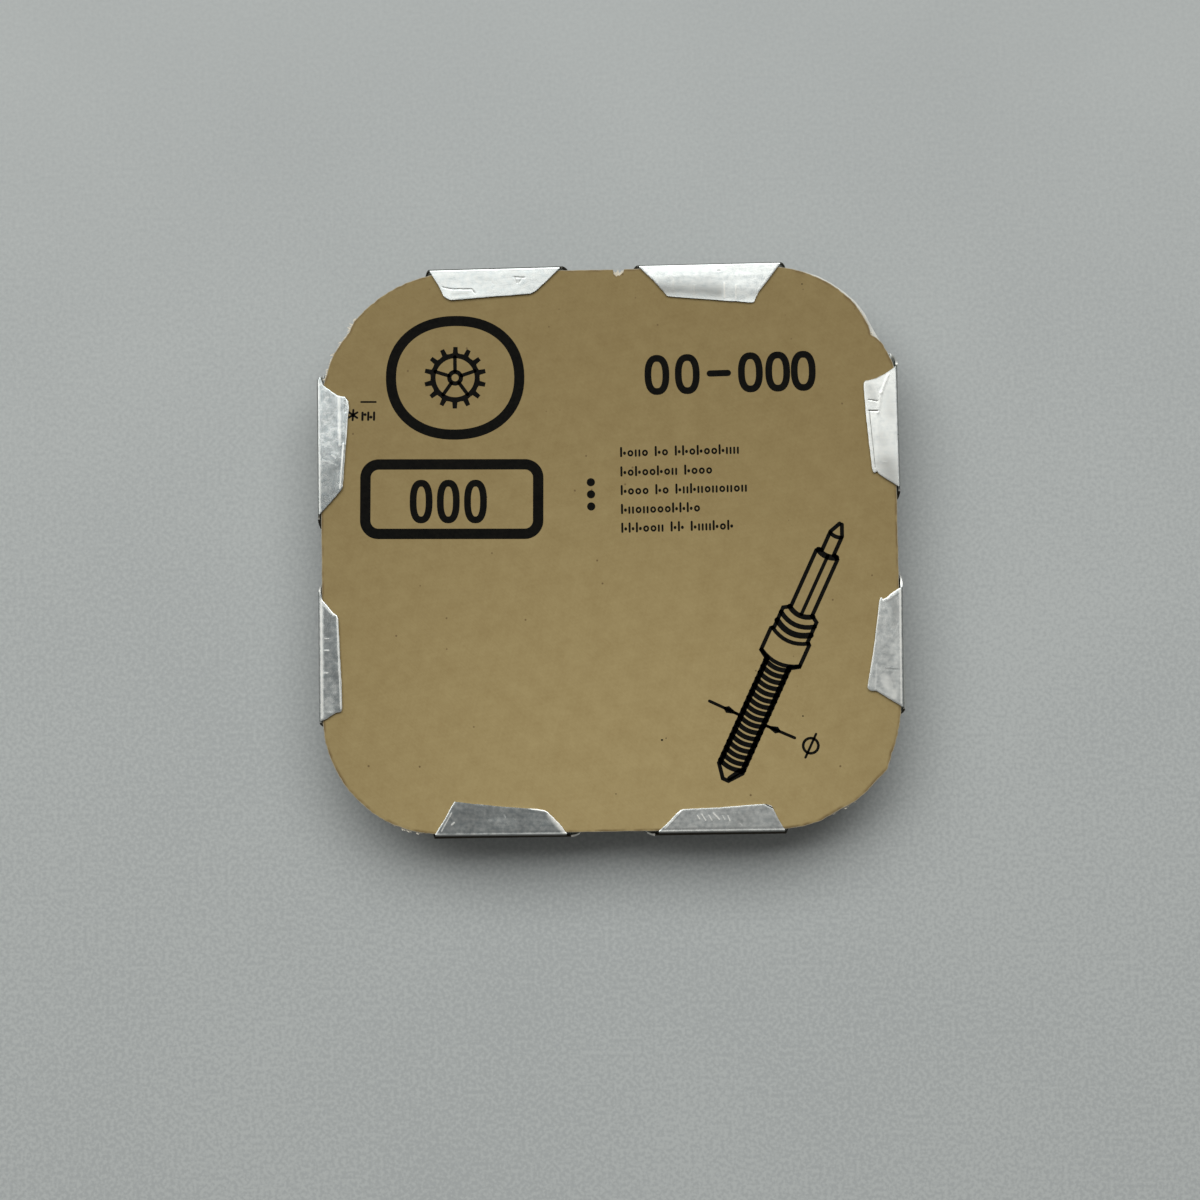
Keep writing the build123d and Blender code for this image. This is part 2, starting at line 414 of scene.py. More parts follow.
def square_radius(angle):
    """The radius of a round bar with four flats."""
    from_flat = (math.degrees(angle) + 45) % 90 - 45
    if abs(from_flat) >= flat_edge - 0.01:
        return square_corner
    return square_half / math.cos(math.radians(from_flat))


def bar_rows(shape, *rows):
    """Radii round the bar at each row (along, size), for a shape with radii at size 1."""
    return [(along, [size * radius for radius in shape]) for along, size in rows]


round_bar = [1] * len(stem_angles)
square_bar = [square_radius(angle) for angle in stem_angles]
stem_rows = []
for step in range(round((thread_length - thread_runout) * rows_a_turn / thread_pitch)):
    along = -thread_length + step * thread_pitch / rows_a_turn
    stem_rows.append((along, [thread_radius(along, angle) for angle in stem_angles]))
stem_rows += bar_rows(
    round_bar, (-0.03, thread_root), (-shoulder_step, thread_root), (0, barrel_radius - 0.04),
    (0.03, barrel_radius), (groove_start - barrel_chamfer, barrel_radius),
    (groove_start, barrel_radius - barrel_chamfer),
    (groove_start + shoulder_step, groove_radius + fillet), (groove_start + fillet, groove_radius),
    (collar_start - fillet, groove_radius), (collar_start - shoulder_step, groove_radius + fillet),
    (collar_start, collar_radius - collar_chamfer), (collar_start + collar_chamfer, collar_radius),
    (neck_start - collar_chamfer, collar_radius), (neck_start, collar_radius - collar_chamfer),
    (neck_start + shoulder_step, neck_radius + 0.03), (neck_start + fillet, neck_radius),
    (square_start - shoulder_step, neck_radius),
) + bar_rows(
    square_bar, (square_start, 0.93), (square_start + 0.03, 1), (square_end - 0.04, 1),
    (square_end, 0.9),
) + bar_rows(
    round_bar, (square_end + shoulder_step, pilot_radius + 0.02),
    (square_end + 0.03, pilot_radius), (point_start, pilot_radius),
    (stem_tip - 0.02, point_flat + 0.01), (stem_tip, point_flat - 0.02),
)
for stem_name, (stem_x, stem_y, heading) in stem_places.items():
    tilt = math.atan((barrel_radius - thread_crest) / (thread_length - thread_point))
    lift = bubble_sheet + stem_gap + barrel_radius * math.cos(tilt)
    lying = (
        Matrix.Translation((stem_x, stem_y, lift))
        @ Matrix.Rotation(math.radians(heading), 4, "Z")
        @ Matrix.Rotation(-tilt, 4, "Y")
    )
    loops = [
        [lying @ Vector((along, radius * math.cos(angle), radius * math.sin(angle)))
         for angle, radius in zip(stem_angles, radii)]
        for along, radii in stem_rows
    ]
    points, faces = skin(loops)
    stem = make_piece("turned_" + stem_name, points, faces, [polished_steel], 28)
    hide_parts(stem_name)
    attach(stem, "packet")


# ---- Card ----
# Die cut from solid board, tan on its printed face and grey below. Its corners have worn,
# one in flat nibbles, and a small piece is torn from the middle of its top edge.
card_bottom = 4.9
card_top = 5.4
card_half = (23.68, 23.15)
edge_bevel = 0.05
worn_width = 0.26
# Each corner's centre and its radius by degrees round the corner, as it has worn
worn_corners = (
    ((12.8, 12.35), ((0, 10.88), (8, 10.98), (12.6, 11.1), (18.1, 10.95), (24.4, 10.77),
                     (27.6, 10.44), (29.2, 10.33), (32.8, 10.57), (39.2, 10.69),
                     (44.1, 10.86), (51.7, 10.89), (59.4, 10.93), (75, 10.88), (90, 10.8))),
    ((-11.9, 11.45), ((0, 11.7), (15, 11.75), (30, 11.8), (43, 11.8), (49, 11.82),
                      (52.5, 11.6), (54.5, 11.57), (58, 11.62), (61.3, 11.68), (64.2, 11.76),
                      (71.7, 11.73), (90, 11.78))),
    ((-14.3, -13.8), ((0, 9.38), (20, 9.3), (45, 9.25), (70, 9.3), (90, 9.35))),
    ((13.5, -13.0), ((0, 10.15), (20, 10.1), (29, 9.95), (38, 10.12), (52, 10.2),
                     (58.5, 10.42), (66, 10.2), (80, 10.12), (90, 10.18))),
)
nick = ((1.6, 23.15), (1.52, 22.9), (1.36, 22.78), (1.2, 22.62), (1.08, 22.66), (0.93, 22.56),
        (0.8, 22.7), (0.7, 22.78), (0.66, 23.13))

# How rough the card's corners (and how finely) and its straight sides have worn, the sides'
# steps, and about half the card's width, since a side's wear is a share of it
corner_wear = 0.05
wear_scale = 30
side_wear = 0.03
worn_steps = 48
about_half = 23


def corner_point(corner, turn, further=0):
    """A point round a worn corner, by degrees round it, and how much further out."""
    middle, radii = worn_corners[corner]
    angle = math.radians(90 * corner + turn)
    radius = between(radii, turn) + further
    return middle[0] + radius * math.cos(angle), middle[1] + radius * math.sin(angle)


def worn_outline():
    """The card's outline, anticlockwise from its right side."""
    outline = []
    for corner in range(4):
        for turn in range(91):
            angle = math.radians(90 * corner + turn)
            spot = (math.cos(angle) * wear_scale, math.sin(angle) * wear_scale, corner)
            chance = noise.noise(spot)
            outline.append(corner_point(corner, turn, corner_wear * chance))
        if corner == 0:
            outline += nick
        start, end = Vector(outline[-1]), Vector(corner_point((corner + 1) % 4, 0))
        for step in range(1, worn_steps):
            rough = side_wear * noise.noise((corner * 7.1, step * 0.9, 3.3))
            point, share = start.lerp(end, step / worn_steps), 1 + rough / about_half
            outline.append((point.x * share, point.y * share))
    return outline


def scaled_loop(outline, inset, height):
    """An outline drawn in towards the middle by about an inset, at one height."""
    share = 1 - inset / card_half[0]
    return [Vector((x * share, y * share, height)) for x, y in outline]


def cap(loop, first, turned_down):
    """Triangles that close a level loop whose points start at an index."""
    flat = [Vector((point[0], point[1], 0)) for point in loop]
    faces = []
    for a, b, c in tessellate_polygon([flat]):
        faces.append((first + a, first + c, first + b) if turned_down else
                     (first + a, first + b, first + c))
    return faces


def store(piece, name, values):
    """Stores a value at each of a piece's points, for its finish to read."""
    stored = piece.data.attributes.new(name, "FLOAT", "POINT")
    stored.data.foreach_set("value", values)


# Board: fibres that lie every way, a soft mottle and small brown flecks, as three masks
fibre_effect, fibre_in, fibre_out = new_effect(
    "board fibres", {"Place": None}, ("Fibres", "Mottle", "Flecks"),
)
place = fibre_in.outputs["Place"]
fibre_sets = [
    noise_at(fibre_effect, drawn_out(fibre_effect, place, 6, turn), 4.2 + turn, 2.0)
    for turn in (0.2, 1.3, 2.4)
]
two_sets = maths(fibre_effect, "ADD", *fibre_sets[:2])
spots = place_node(fibre_effect, "TexVoronoi", {"Vector": place, "Scale": 0.5})
for mask, value, low, high in (
    ("Fibres", maths(fibre_effect, "ADD", two_sets, fibre_sets[2]), 1.1, 1.9),
    ("Mottle", noise_at(fibre_effect, place, 0.55, 4.0, 0.6), 0.32, 0.68),
    ("Flecks", spots.outputs["Distance"], 0.055, 0.03),
):
    fibre_effect.links.new(ranged(fibre_effect, value, low, high), fibre_out.inputs[mask])


def board_finish(name, shade, light, fleck, paler_towards=None, rim=None):
    """A board's finish: a shade and a light tone mixed by its fibres, flecks and a worn rim."""
    finish, tree, shader = new_finish(name, Roughness=0.75, Specular_IOR_Level=0.22)
    place = place_in_mm(tree)
    fibres = place_effect(tree, fibre_effect, {"Place": place})
    soft = maths(tree, "MULTIPLY", fibres.outputs["Fibres"], 0.45)
    share = maths(tree, "MULTIPLY_ADD", fibres.outputs["Mottle"], 0.55, soft)
    colour = blend_tones(tree, share, shade, light)
    # Paler and less yellow towards a point below the face's middle
    if paler_towards:
        middle, spread, paler_tone = paler_towards
        away = place_node(tree, "VectorMath", {0: place, 1: middle}, operation="DISTANCE")
        share = place_node(tree, "MapRange", {
            "Value": away.outputs["Value"], "From Min": spread, "From Max": 5.0,
        }, interpolation_type="SMOOTHSTEP")
        colour = blend_tones(tree, share.outputs[0], colour, paler_tone, "MULTIPLY")
    if rim:
        at_edge = place_node(tree, "Attribute", attribute_name="at_edge").outputs["Fac"]
        patches = ranged(tree, noise_at(tree, place, 0.9, 3.0), 0.38, 0.6)
        colour = blend_tones(tree, maths(tree, "MULTIPLY", patches, at_edge), colour, rim)
    colour = blend_tones(tree, fibres.outputs["Flecks"], colour, fleck)
    dress(tree, shader, colour, relief=(fibres.outputs["Fibres"], 0.012, 0.5))
    return finish


tan_face = board_finish(
    "tan board face", linear(133, 114, 73), linear(144, 126, 84), linear(112, 93, 60),
    paler_towards=((1.0, -28.0, 5.4), 50.0, (1.43, 1.48, 1.6, 1)), rim=linear(108, 88, 55),
)
pale_core = board_finish(
    "board cut edge", linear(150, 138, 112), linear(186, 176, 152), linear(126, 108, 78),
)
grey_back = board_finish(
    "board back", linear(158, 154, 144), linear(178, 174, 163), linear(120, 112, 98),
)

outline = worn_outline()
edge_rows = (
    (0.03, card_bottom), (0, card_bottom + 0.03), (0.012, card_bottom + 0.17),
    (0, card_bottom + 0.3), (0, card_top - edge_bevel), (edge_bevel * 0.4, card_top - 0.012),
    (edge_bevel, card_top), (worn_width, card_top),
)
loops = [scaled_loop(outline, inset, height) for inset, height in edge_rows]
points, faces = skin(loops)
count = len(outline)
side_faces = faces[1:-1]
under = cap(loops[0], 0, True)
over = cap(loops[-1], (len(loops) - 1) * count, False)
card = make_piece("board_card", points, side_faces + under + over,
                  [tan_face, pale_core, grey_back])
for number, face in enumerate(card.data.polygons):
    if number < len(side_faces):
        face.material_index = 1 if number < (len(loops) - 2) * count else 0
    else:
        face.material_index = 2 if number < len(side_faces) + len(under) else 0
store(card, "at_edge", [1.0] * (len(loops) - 1) * count + [0.0] * count)
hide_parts("card")
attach(card, "packet")


# ---- Torn fibres ----
# Pale paper fibres that stand out where the board was torn at the nick and has frayed at
# its corners: flat tapered shreds, thinner than the board.
shred_places = (
    (0.98, 22.6, 80, 0.42), (1.12, 22.66, 100, 0.46), (1.28, 22.7, 75, 0.4),
    (0.84, 22.68, 115, 0.34), (1.42, 22.84, 60, 0.3), (0.75, 22.86, 130, 0.22),
    (-20.9, 18.9, 150, 0.34), (-21.0, 18.6, 165, 0.4), (-21.1, 18.25, 120, 0.3),
    (21.75, 17.5, 20, 0.26), (21.85, 17.3, 50, 0.22),
)
# Arcs of the card's corners that have frayed: the corner, and from and to by degrees round it
frayed_arcs = ((1, 48, 78), (2, 66, 82), (0, 33, 42), (3, 26, 40))
# How far a frayed shred turns either way in degrees, its least length, and what chance adds
fray_turn = 130
least_shred, longer_shred = 0.18, 0.25
# How far past the edge frayed shreds start. Then every shred's thickness and depth in the
# board, and how far they bend, rise and are layered
shred_start = 0.01
shred_sheet = 0.03
shred_depth = 0.2
shred_bend = 0.05
shred_rise = 0.05
shred_layer = 0.012
# A shred's half width along it, as shares of its length
shred_taper = ((0, 0.28), (0.35, 0.25), (0.7, 0.15), (1, 0.05))

paper_fibre, tree, shader = new_finish("torn paper fibre", Roughness=0.8)
strand = noise_at(tree, place_in_mm(tree), 6.0, 2.0)
dress(tree, shader, blend_tones(tree, strand, linear(196, 186, 164), linear(232, 227, 213)))

all_shreds = list(shred_places)
for corner, first_turn, last_turn in frayed_arcs:
    for turn in range(first_turn, last_turn):
        chance = noise.noise((turn * 1.7, corner, 2.2))
        all_shreds.append((
            *corner_point(corner, turn, shred_start),
            90 * (corner + 1) + turn + fray_turn * chance,
            least_shred + longer_shred * abs(chance),
        ))
points, faces = [], []
for number, (x, y, heading, length) in enumerate(all_shreds):
    turn = math.radians(heading)
    ahead = Vector((math.cos(turn), math.sin(turn)))
    aside = Vector((-math.sin(turn), math.cos(turn)))
    low = card_top - shred_depth - shred_layer * (number % 3)
    loops = []
    for share, taper in shred_taper:
        bend = shred_bend * math.sin(share * 3 + number)
        middle = Vector((x, y)) + ahead * length * share + aside * bend
        loops.append([
            (*(middle + aside * side * length * taper), low + height + shred_rise * share)
            for side, height in ((1, 0), (-1, 0), (-1, shred_sheet), (1, shred_sheet))
        ])
    shred_points, shred_faces = skin(loops)
    faces += [tuple(len(points) + point for point in face) for face in shred_faces]
    points += shred_points
shreds = make_piece("torn_fibres", points, faces, [paper_fibre])
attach(shreds, "packet")


# ---- Print on the card ----
# One black ink, laid on as a film that stands just proud of the board: a plain ring with a
# small toothed wheel, a framed number place, a size line, ruled rows and a stem drawing.
ink_low = card_top - 0.003
ink_high = card_top + 0.007
# How far a stroke's mitres may run out, as the least cosine, and how many steps round its ends
sharpest_mitre = 0.4
end_steps = 6

black_ink, tree, shader = new_finish("black ink", Roughness=0.7, Specular_IOR_Level=0.06)
fibres = place_effect(tree, fibre_effect, {"Place": place_in_mm(tree)}).outputs["Fibres"]
tone = blend_tones(tree, fibres, linear(6, 6, 5), linear(17, 16, 12))
dress(tree, shader, tone, relief=(fibres, 0.008, 0.5))


def add_slab(parts, loops, low, high):
    """Adds a flat slab between two heights: an outline, and holes where more loops are given."""
    points, faces = parts
    start = len(points)
    flat = [[Vector((x, y, 0)) for x, y in loop] for loop in loops]
    count = sum(len(loop) for loop in flat)
    for height in (low, high):
        points += [(p.x, p.y, height) for loop in flat for p in loop]
    for a, b, c in tessellate_polygon(flat):
        faces.append((start + c, start + b, start + a))
        faces.append((start + a + count, start + b + count, start + c + count))
    for loop in flat:
        for place in range(len(loop)):
            here, ahead = start + place, start + (place + 1) % len(loop)
            faces.append((here, ahead, ahead + count, here + count))
        start += len(loop)


def add_film(print_parts, loops):
    """Adds one inked area."""
    add_slab(print_parts, loops, ink_low, ink_high)


def stroke_sides(path, width, closed):
    """The two sides of a stroke along a path, mitred at its points."""
    left, right = [], []
    count = len(path)
    for place, point in enumerate(path):
        before = path[place - 1] if closed or place else None
        after = path[(place + 1) % count] if closed or place < count - 1 else None
        into = (point - before).normalized() if before is not None else None
        out = (after - point).normalized() if after is not None else None
        into, out = into or out, out or into
        aside = Vector((-(into + out).y, (into + out).x)).normalized()
        reach = width / 2 / max(sharpest_mitre, aside.dot(Vector((-into.y, into.x))))
        left.append(point + aside * reach)
        right.append(point - aside * reach)
    return left, right


def add_stroke(print_parts, path, width, closed=False):
    """Adds an inked line of even width: a closed one is a ring, an open one has round ends."""
    path = [Vector(point) for point in path]
    left, right = stroke_sides(path, width, closed)
    if closed:
        add_film(print_parts, [right, left])
        return
    far_end, near_end = (
        [middle + Matrix.Rotation(math.pi * step / end_steps, 2) @ (side - middle)
         for step in range(1, end_steps)]
        for middle, side in ((path[-1], right[-1]), (path[0], left[0]))
    )
    add_film(print_parts, [right + far_end + left[::-1] + near_end])


def oval(middle, across, up, steps=40, squareness=1.0):
    """Points round an oval; a squareness under 1 fills its corners."""
    points = []
    for step in range(steps):
        angle = math.radians(360 * step / steps)
        cos, sin = math.cos(angle), math.sin(angle)
        points.append(Vector((
            middle[0] + across * math.copysign(abs(cos) ** squareness, cos),
            middle[1] + up * math.copysign(abs(sin) ** squareness, sin),
        )))
    return points


def make_print(name, print_parts):
    """One printed group, which stays on the card."""
    printed = make_piece(name, *print_parts, [black_ink])
    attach(printed, "packet")


# A ring with a toothed wheel
badge_middle = (-12.5, 14.35)
badge = ([], [])
add_stroke(badge, oval(badge_middle, 5.3, 4.72, 72, 0.92), 0.84, closed=True)
wheel_teeth = 14
wheel = []
for tooth in range(wheel_teeth):
    for turn, radius in ((0, 2.02), (0.22, 2.06), (0.3, 2.56), (0.6, 2.56), (0.68, 2.06)):
        angle = 2 * math.pi * (tooth + turn) / wheel_teeth
        wheel.append((badge_middle[0] + radius * math.cos(angle),
                      badge_middle[1] + radius * math.sin(angle)))
add_film(badge, [wheel, oval(badge_middle, 1.62, 1.62)])
add_film(badge, [oval(badge_middle, 0.66, 0.66), oval(badge_middle, 0.3, 0.3, 20)])
for spoke in range(5):
    angle = math.radians(90 + 72 * spoke)
    aim = Vector((math.cos(angle), math.sin(angle)))
    start, end = Vector(badge_middle) + aim * 0.55, Vector(badge_middle) + aim * 1.72
    add_stroke(badge, [start, end], 0.3)
make_print("printed_wheel_badge", badge)

# A framed place for a number
number_box = ([], [])
box_path = rounded_loop((7.12, 2.87), (1.1,) * 4, 0)
box_turn = Matrix.Rotation(math.radians(-0.9), 2)
box_middle = Vector((-12.9, 4.3))
add_stroke(number_box, [box_middle + box_turn @ p.xy for p in box_path], 0.86, closed=True)
for digit in range(3):
    digit_path = oval((2.24 * digit - 2.52, -0.2), 0.66, 1.52, 36, 0.8)
    add_stroke(number_box, [box_middle + box_turn @ p for p in digit_path], 0.56, closed=True)
make_print("printed_number_box", number_box)

# A size line of plain digits
size_line = ([], [])
line_turn = math.radians(0.6)
for across in (4.15, 6.65, 11.85, 14.1, 16.2):
    middle = (across, 14.35 + (across - 10) * math.sin(line_turn))
    add_stroke(size_line, oval(middle, 0.74, 1.38, 36, 0.82), 0.56, closed=True)
add_stroke(size_line, [(8.5, 14.33), (10.0, 14.35)], 0.52)
make_print("printed_size_line", size_line)

# The quantity, as three dots
quantity = ([], [])
for up in (5.5, 4.5, 3.5):
    add_film(quantity, [oval((-1.43, up), 0.34, 0.34, 24)])
make_print("printed_quantity_dots", quantity)

# Rows of small ticks, rings and dots in place of words, and the end of a row under a tab
form_step = 0.6
row_start = 1.1
word_gap = 0.45
row_rise = 0.011
ring_below, tick_below = -0.05, 0.16
tick_width = 0.17
row_words = ((7.6, (4, 2, 9)), (6.0, (8, 4)), (4.45, (4, 2, 10)), (2.9, (11,)), (1.35, (6, 2, 6)))


def add_word(print_parts, pen, foot, forms):
    """Adds a run of plain forms as long as a word; gives back where it ends."""
    for number in range(forms):
        chance = noise.noise((pen * 3.7, foot * 5.1, 0.5))
        here = foot + row_rise * pen
        if chance < ring_below and number:
            form = oval((pen + 0.16, here + 0.22), 0.17, 0.19, 14)
            add_stroke(print_parts, form, 0.15, closed=True)
        elif chance < tick_below and number:
            for tick in (0, 0.3):
                add_stroke(print_parts, [(pen + tick, here), (pen + tick, here + 0.45)], 0.16)
        else:
            add_stroke(print_parts, [(pen, here), (pen, here + 0.68)], tick_width)
            add_film(print_parts, [oval((pen + 0.28, here + 0.24), 0.12, 0.14, 12)])
        pen += form_step
    return pen


text_rows = ([], [])
for foot, words in row_words:
    pen = row_start
    for forms in words:
        pen = add_word(text_rows, pen, foot, forms) + word_gap
add_stroke(text_rows, [(-20.28, 12.47), (-19.08, 12.45)], 0.15)
star_middle = Vector((-20.97, 11.4))
star_arm = 0.42
for turn in (85, 30, -35):
    arm = star_arm * Vector((math.cos(math.radians(turn)), math.sin(math.radians(turn))))
    add_stroke(text_rows, [star_middle - arm, star_middle + arm], tick_width)
for across in (-20.2, -19.72, -19.24):
    add_stroke(text_rows, [(across, 10.98), (across + 0.02, 11.58)], 0.18)
for across, height in ((-19.97, 11.42), (-19.49, 11.2)):
    add_film(text_rows, [oval((across, height), 0.13, 0.12, 12)])
make_print("printed_text_rows", text_rows)

# A line drawing of a stem like those inside, with its thread's diameter marked
drawing = ([], [])
drawing_foot = Vector((9.15, -19.17))
drawing_aim = (Vector((19.09, 1.86)) - drawing_foot).normalized()
drawing_side = Vector((drawing_aim.y, -drawing_aim.x))


def on_drawing(along, across):
    """A point of the drawing, from the thread's tip along it and to its right."""
    return drawing_foot + drawing_aim * along + drawing_side * across


curve_steps = 9
line_width = 0.33
thread_half = 1.06
ridges = 17
first_ridge = 1.42
ridge_step = 0.56


def curve_across(along, half, sag):
    """A line across the drawn stem that bows towards its thread's tip."""
    shares = [2 * step / (curve_steps - 1) - 1 for step in range(curve_steps)]
    return [on_drawing(along - sag * (1 - share ** 2), half * share) for share in shares]


def draw(path, width=line_width, sides=(-1, 1)):
    """Inks a line of the drawing through (along, across) points, on each side given."""
    for side in sides:
        add_stroke(drawing, [on_drawing(along, side * across) for along, across in path], width)


# The thread with its ridges, then the barrel, groove and collar, the square and the pilot
draw(((10.7, -thread_half), (1.15, -thread_half), (0.12, -0.25), (0.12, 0.25),
      (1.15, thread_half), (10.7, thread_half)), sides=(1,))
for ridge in range(ridges):
    add_stroke(drawing, curve_across(first_ridge + ridge * ridge_step, thread_half, 0.26), 0.4)
draw(((1.2, 0.93), (10.6, 0.93)), 0.34)
draw(((0.35, 0.25), (1.3, 0.8)), 0.4, sides=(1,))
draw(((10.6, 1.1), (11.0, 1.72), (12.95, 1.72), (13.15, 1.5), (14.9, 1.5), (15.25, 0.95)))
draw(((15.2, 0.95), (20.3, 0.95), (20.55, 0.62)))
draw(((15.0, 0.1), (20.3, 0.1)), line_width * 0.9, sides=(1,))
draw(((20.5, 0.52), (22.2, 0.52), (23.1, 0.1)))
for along, half, sag, weight in (
    (11.05, 1.7, 0.5, 1), (13.05, 1.62, 0.5, 1), (13.75, 1.5, 0.5, 1.5), (14.5, 1.5, 0.5, 1.2),
    (15.2, 1.05, 0.35, 1.3), (20.42, 0.8, 0.22, 1.5), (22.1, 0.5, 0.12, 1),
):
    add_stroke(drawing, curve_across(along, half, sag), line_width * weight)
for tail, head in (((8.0, -12.63), (10.39, -13.78)), ((14.9, -15.74), (12.52, -14.68))):
    tail, head = Vector(tail), Vector(head)
    aim = (head - tail).normalized()
    aside = Vector((-aim.y, aim.x))
    add_stroke(drawing, [tail, head], 0.25)
    wing = tail.lerp(head, 0.48)
    add_film(drawing, [[wing - aside * 0.06, wing + aim * 0.35 - aside * 0.3, head,
                        wing + aim * 0.35 + aside * 0.3, wing + aside * 0.06]])
sign_middle = Vector((16.2, -16.4))
add_stroke(drawing, oval(sign_middle, 0.62, 0.62, 32), 0.22, closed=True)
add_stroke(drawing, [sign_middle - drawing_aim * 1.05, sign_middle + drawing_aim * 1.05], 0.2)
make_print("printed_stem_drawing", drawing)

# Stray specks of ink
specks = ([], [])
for x, y, size in ((4.07, -15.75, 0.1), (0.24, -20.09, 0.05), (15.61, -13.97, 0.07),
                   (16.24, 21.63, 0.06), (4.4, -15.6, 0.05)):
    add_film(specks, [oval((x, y), size, size * 0.8, 12)])
make_print("printed_specks", specks)


# ---- Aluminium frame ----
# A flat ring blanked from thin aluminium sheet. It lies under the bubble's flange, and its
# edge runs out straight where the tabs turn up, each in one piece with it.
ring_middle = 4.5
sheet = 0.16
reaches = {"right": 24.0, "top": 23.55, "left": 24.0, "bottom": 23.55}
base_inset = 0.65
opening_spread = 0.5
ring_corners = (10.55, 11.45, 9.15, 9.95)
ring_corner_steps = 16
least_step = 0.001
# Each tab: its side, its fold's ends and their insets, its tip's ends and their insets, and
# how far its root flares past the fold at each end. Ends run anticlockwise.
tabs = {
    "tab_right_lower": ("right", (-13.33, -3.58), (0.12, 0.02), (-11.88, -4.44), (3.07, 1.89),
                        (0.7, 1.8)),
    "tab_right_upper": ("right", (4.73, 14.62), (0.02, 0.09), (5.93, 13.39), (2.28, 2.89),
                        (1.3, 1.3)),
    "tab_top_right": ("top", (-14.43, -2.83), (0.06, 0.12), (-12.3, -5.07), (3.43, 2.76),
                      (0.6, 0.6)),
    "tab_top_left": ("top", (3.75, 14.47), (0.1, 0.2), (5.85, 13.26), (2.33, 2.79),
                     (0.8, 0.5)),
    "tab_left_upper": ("left", (-14.1, -3.22), (0.08, 0.06), (-12.8, -5.21), (2.72, 2.13),
                       (0.75, 1.5)),
    "tab_left_lower": ("left", (3.68, 13.77), (0.04, 0.02), (5.22, 13.04), (1.65, 1.89),
                       (1.7, 0.6)),
    "tab_bottom_left": ("bottom", (-14.55, -3.83), (0.2, 0.14), (-12.95, -5.5), (3.01, 2.21),
                        (0.3, 1.3)),
    "tab_bottom_right": ("bottom", (3.69, 13.95), (0.2, 0.18), (5.5, 12.9), (2.13, 2.44),
                         (1.2, 0.35)),
}
side_turns = {"right": 0, "top": 90, "left": 180, "bottom": 270}

# Aluminium sheet: rolling lines one way across the blank, a fine mottle, scratches, places
# rubbed bright and rough, and grime in the folds; painted highlights along folds, ledges and
# cut edges, and painted shade in the folds, on the walls under them and at flares and edges
sheet_metal, tree, shader = new_finish("aluminium sheet", Metallic=1.0)
spot, rub_and_highlight, grime_and_shade = [
    place_node(tree, "Attribute", attribute_name=name).outputs[output]
    for name, output in (("blank_place", "Vector"), ("rub_and_highlight", "Fac"), ("grime_and_shade", "Fac"))
]
marks = place_effect(tree, marks_effect, {"Place": spot, "Smudge Size": 1.6})
rolling = noise_at(tree, drawn_out(tree, spot, 9), 6.0, 1.0)
grain = noise_at(tree, spot, 2.6, 1.5)
dents = noise_at(tree, spot, 1.5, 2.0)
rub_and_highlight_mask = ranged(tree, maths(tree, "MULTIPLY_ADD", grain, 0.3, rub_and_highlight), 0.16, 0.95)
grime_and_shade_mask = ranged(tree, maths(tree, "MULTIPLY_ADD", grain, 0.15, grime_and_shade), 0.09, 0.85)
rough = ranged(tree, marks.outputs["Smudges"], 0, 1, 0.2, 0.25)
for mask, added in ((marks.outputs["Scratches"], 0.04), (rub_and_highlight_mask, 0.28), (grime_and_shade_mask, 0.1)):
    rough = maths(tree, "MULTIPLY_ADD", mask, added, rough)
streaks = ranged(tree, maths(tree, "MULTIPLY_ADD", rolling, 0.5, grain), 0.5, 1.0)
tone = blend_tones(tree, streaks, linear(188, 197, 198), linear(220, 225, 223))
# Pale where rubbed and under painted highlights; dark where grimy and under painted shade
tone = blend_tones(tree, rub_and_highlight_mask, tone, linear(232, 231, 224))
tone = blend_tones(tree, grime_and_shade_mask, tone, linear(62, 58, 50))
uneven = maths(tree, "MULTIPLY_ADD", dents, 4.0, rolling)
dress(tree, shader, tone, rough, (uneven, 0.0005, 0.6))


def on_side(side, outward, along):
    """A point on a side of the packet, by how far out it lies and how far along."""
    turn = math.radians(side_turns[side])
    return (outward * math.cos(turn) - along * math.sin(turn),
            outward * math.sin(turn) + along * math.cos(turn))


def note_wear_and_light(piece, places, rubs_and_highlights, grimes_and_shade):
    """Stores each point's place on the blank, its rub and painted highlight, its grime and shade.
    """
    spots = piece.data.attributes.new("blank_place", "FLOAT_VECTOR", "POINT")
    spots.data.foreach_set("vector", [value for place in places for value in place])
    store(piece, "rub_and_highlight", [min(1, max(0, value)) for value in rubs_and_highlights])
    store(piece, "grime_and_shade", [min(1, max(0, value)) for value in grimes_and_shade])


def tab_roots(side):
    """Where each tab's root on a side starts and ends, in order along the side."""
    return sorted((ends[0] - flares[0], ends[1] + flares[1])
                  for tab_side, ends, _, _, _, flares in tabs.values() if tab_side == side)


def corner_share(length, radius):
    """How far a length reaches into a round corner, from 0 to 1."""
    return min(1, max(0, length / radius))


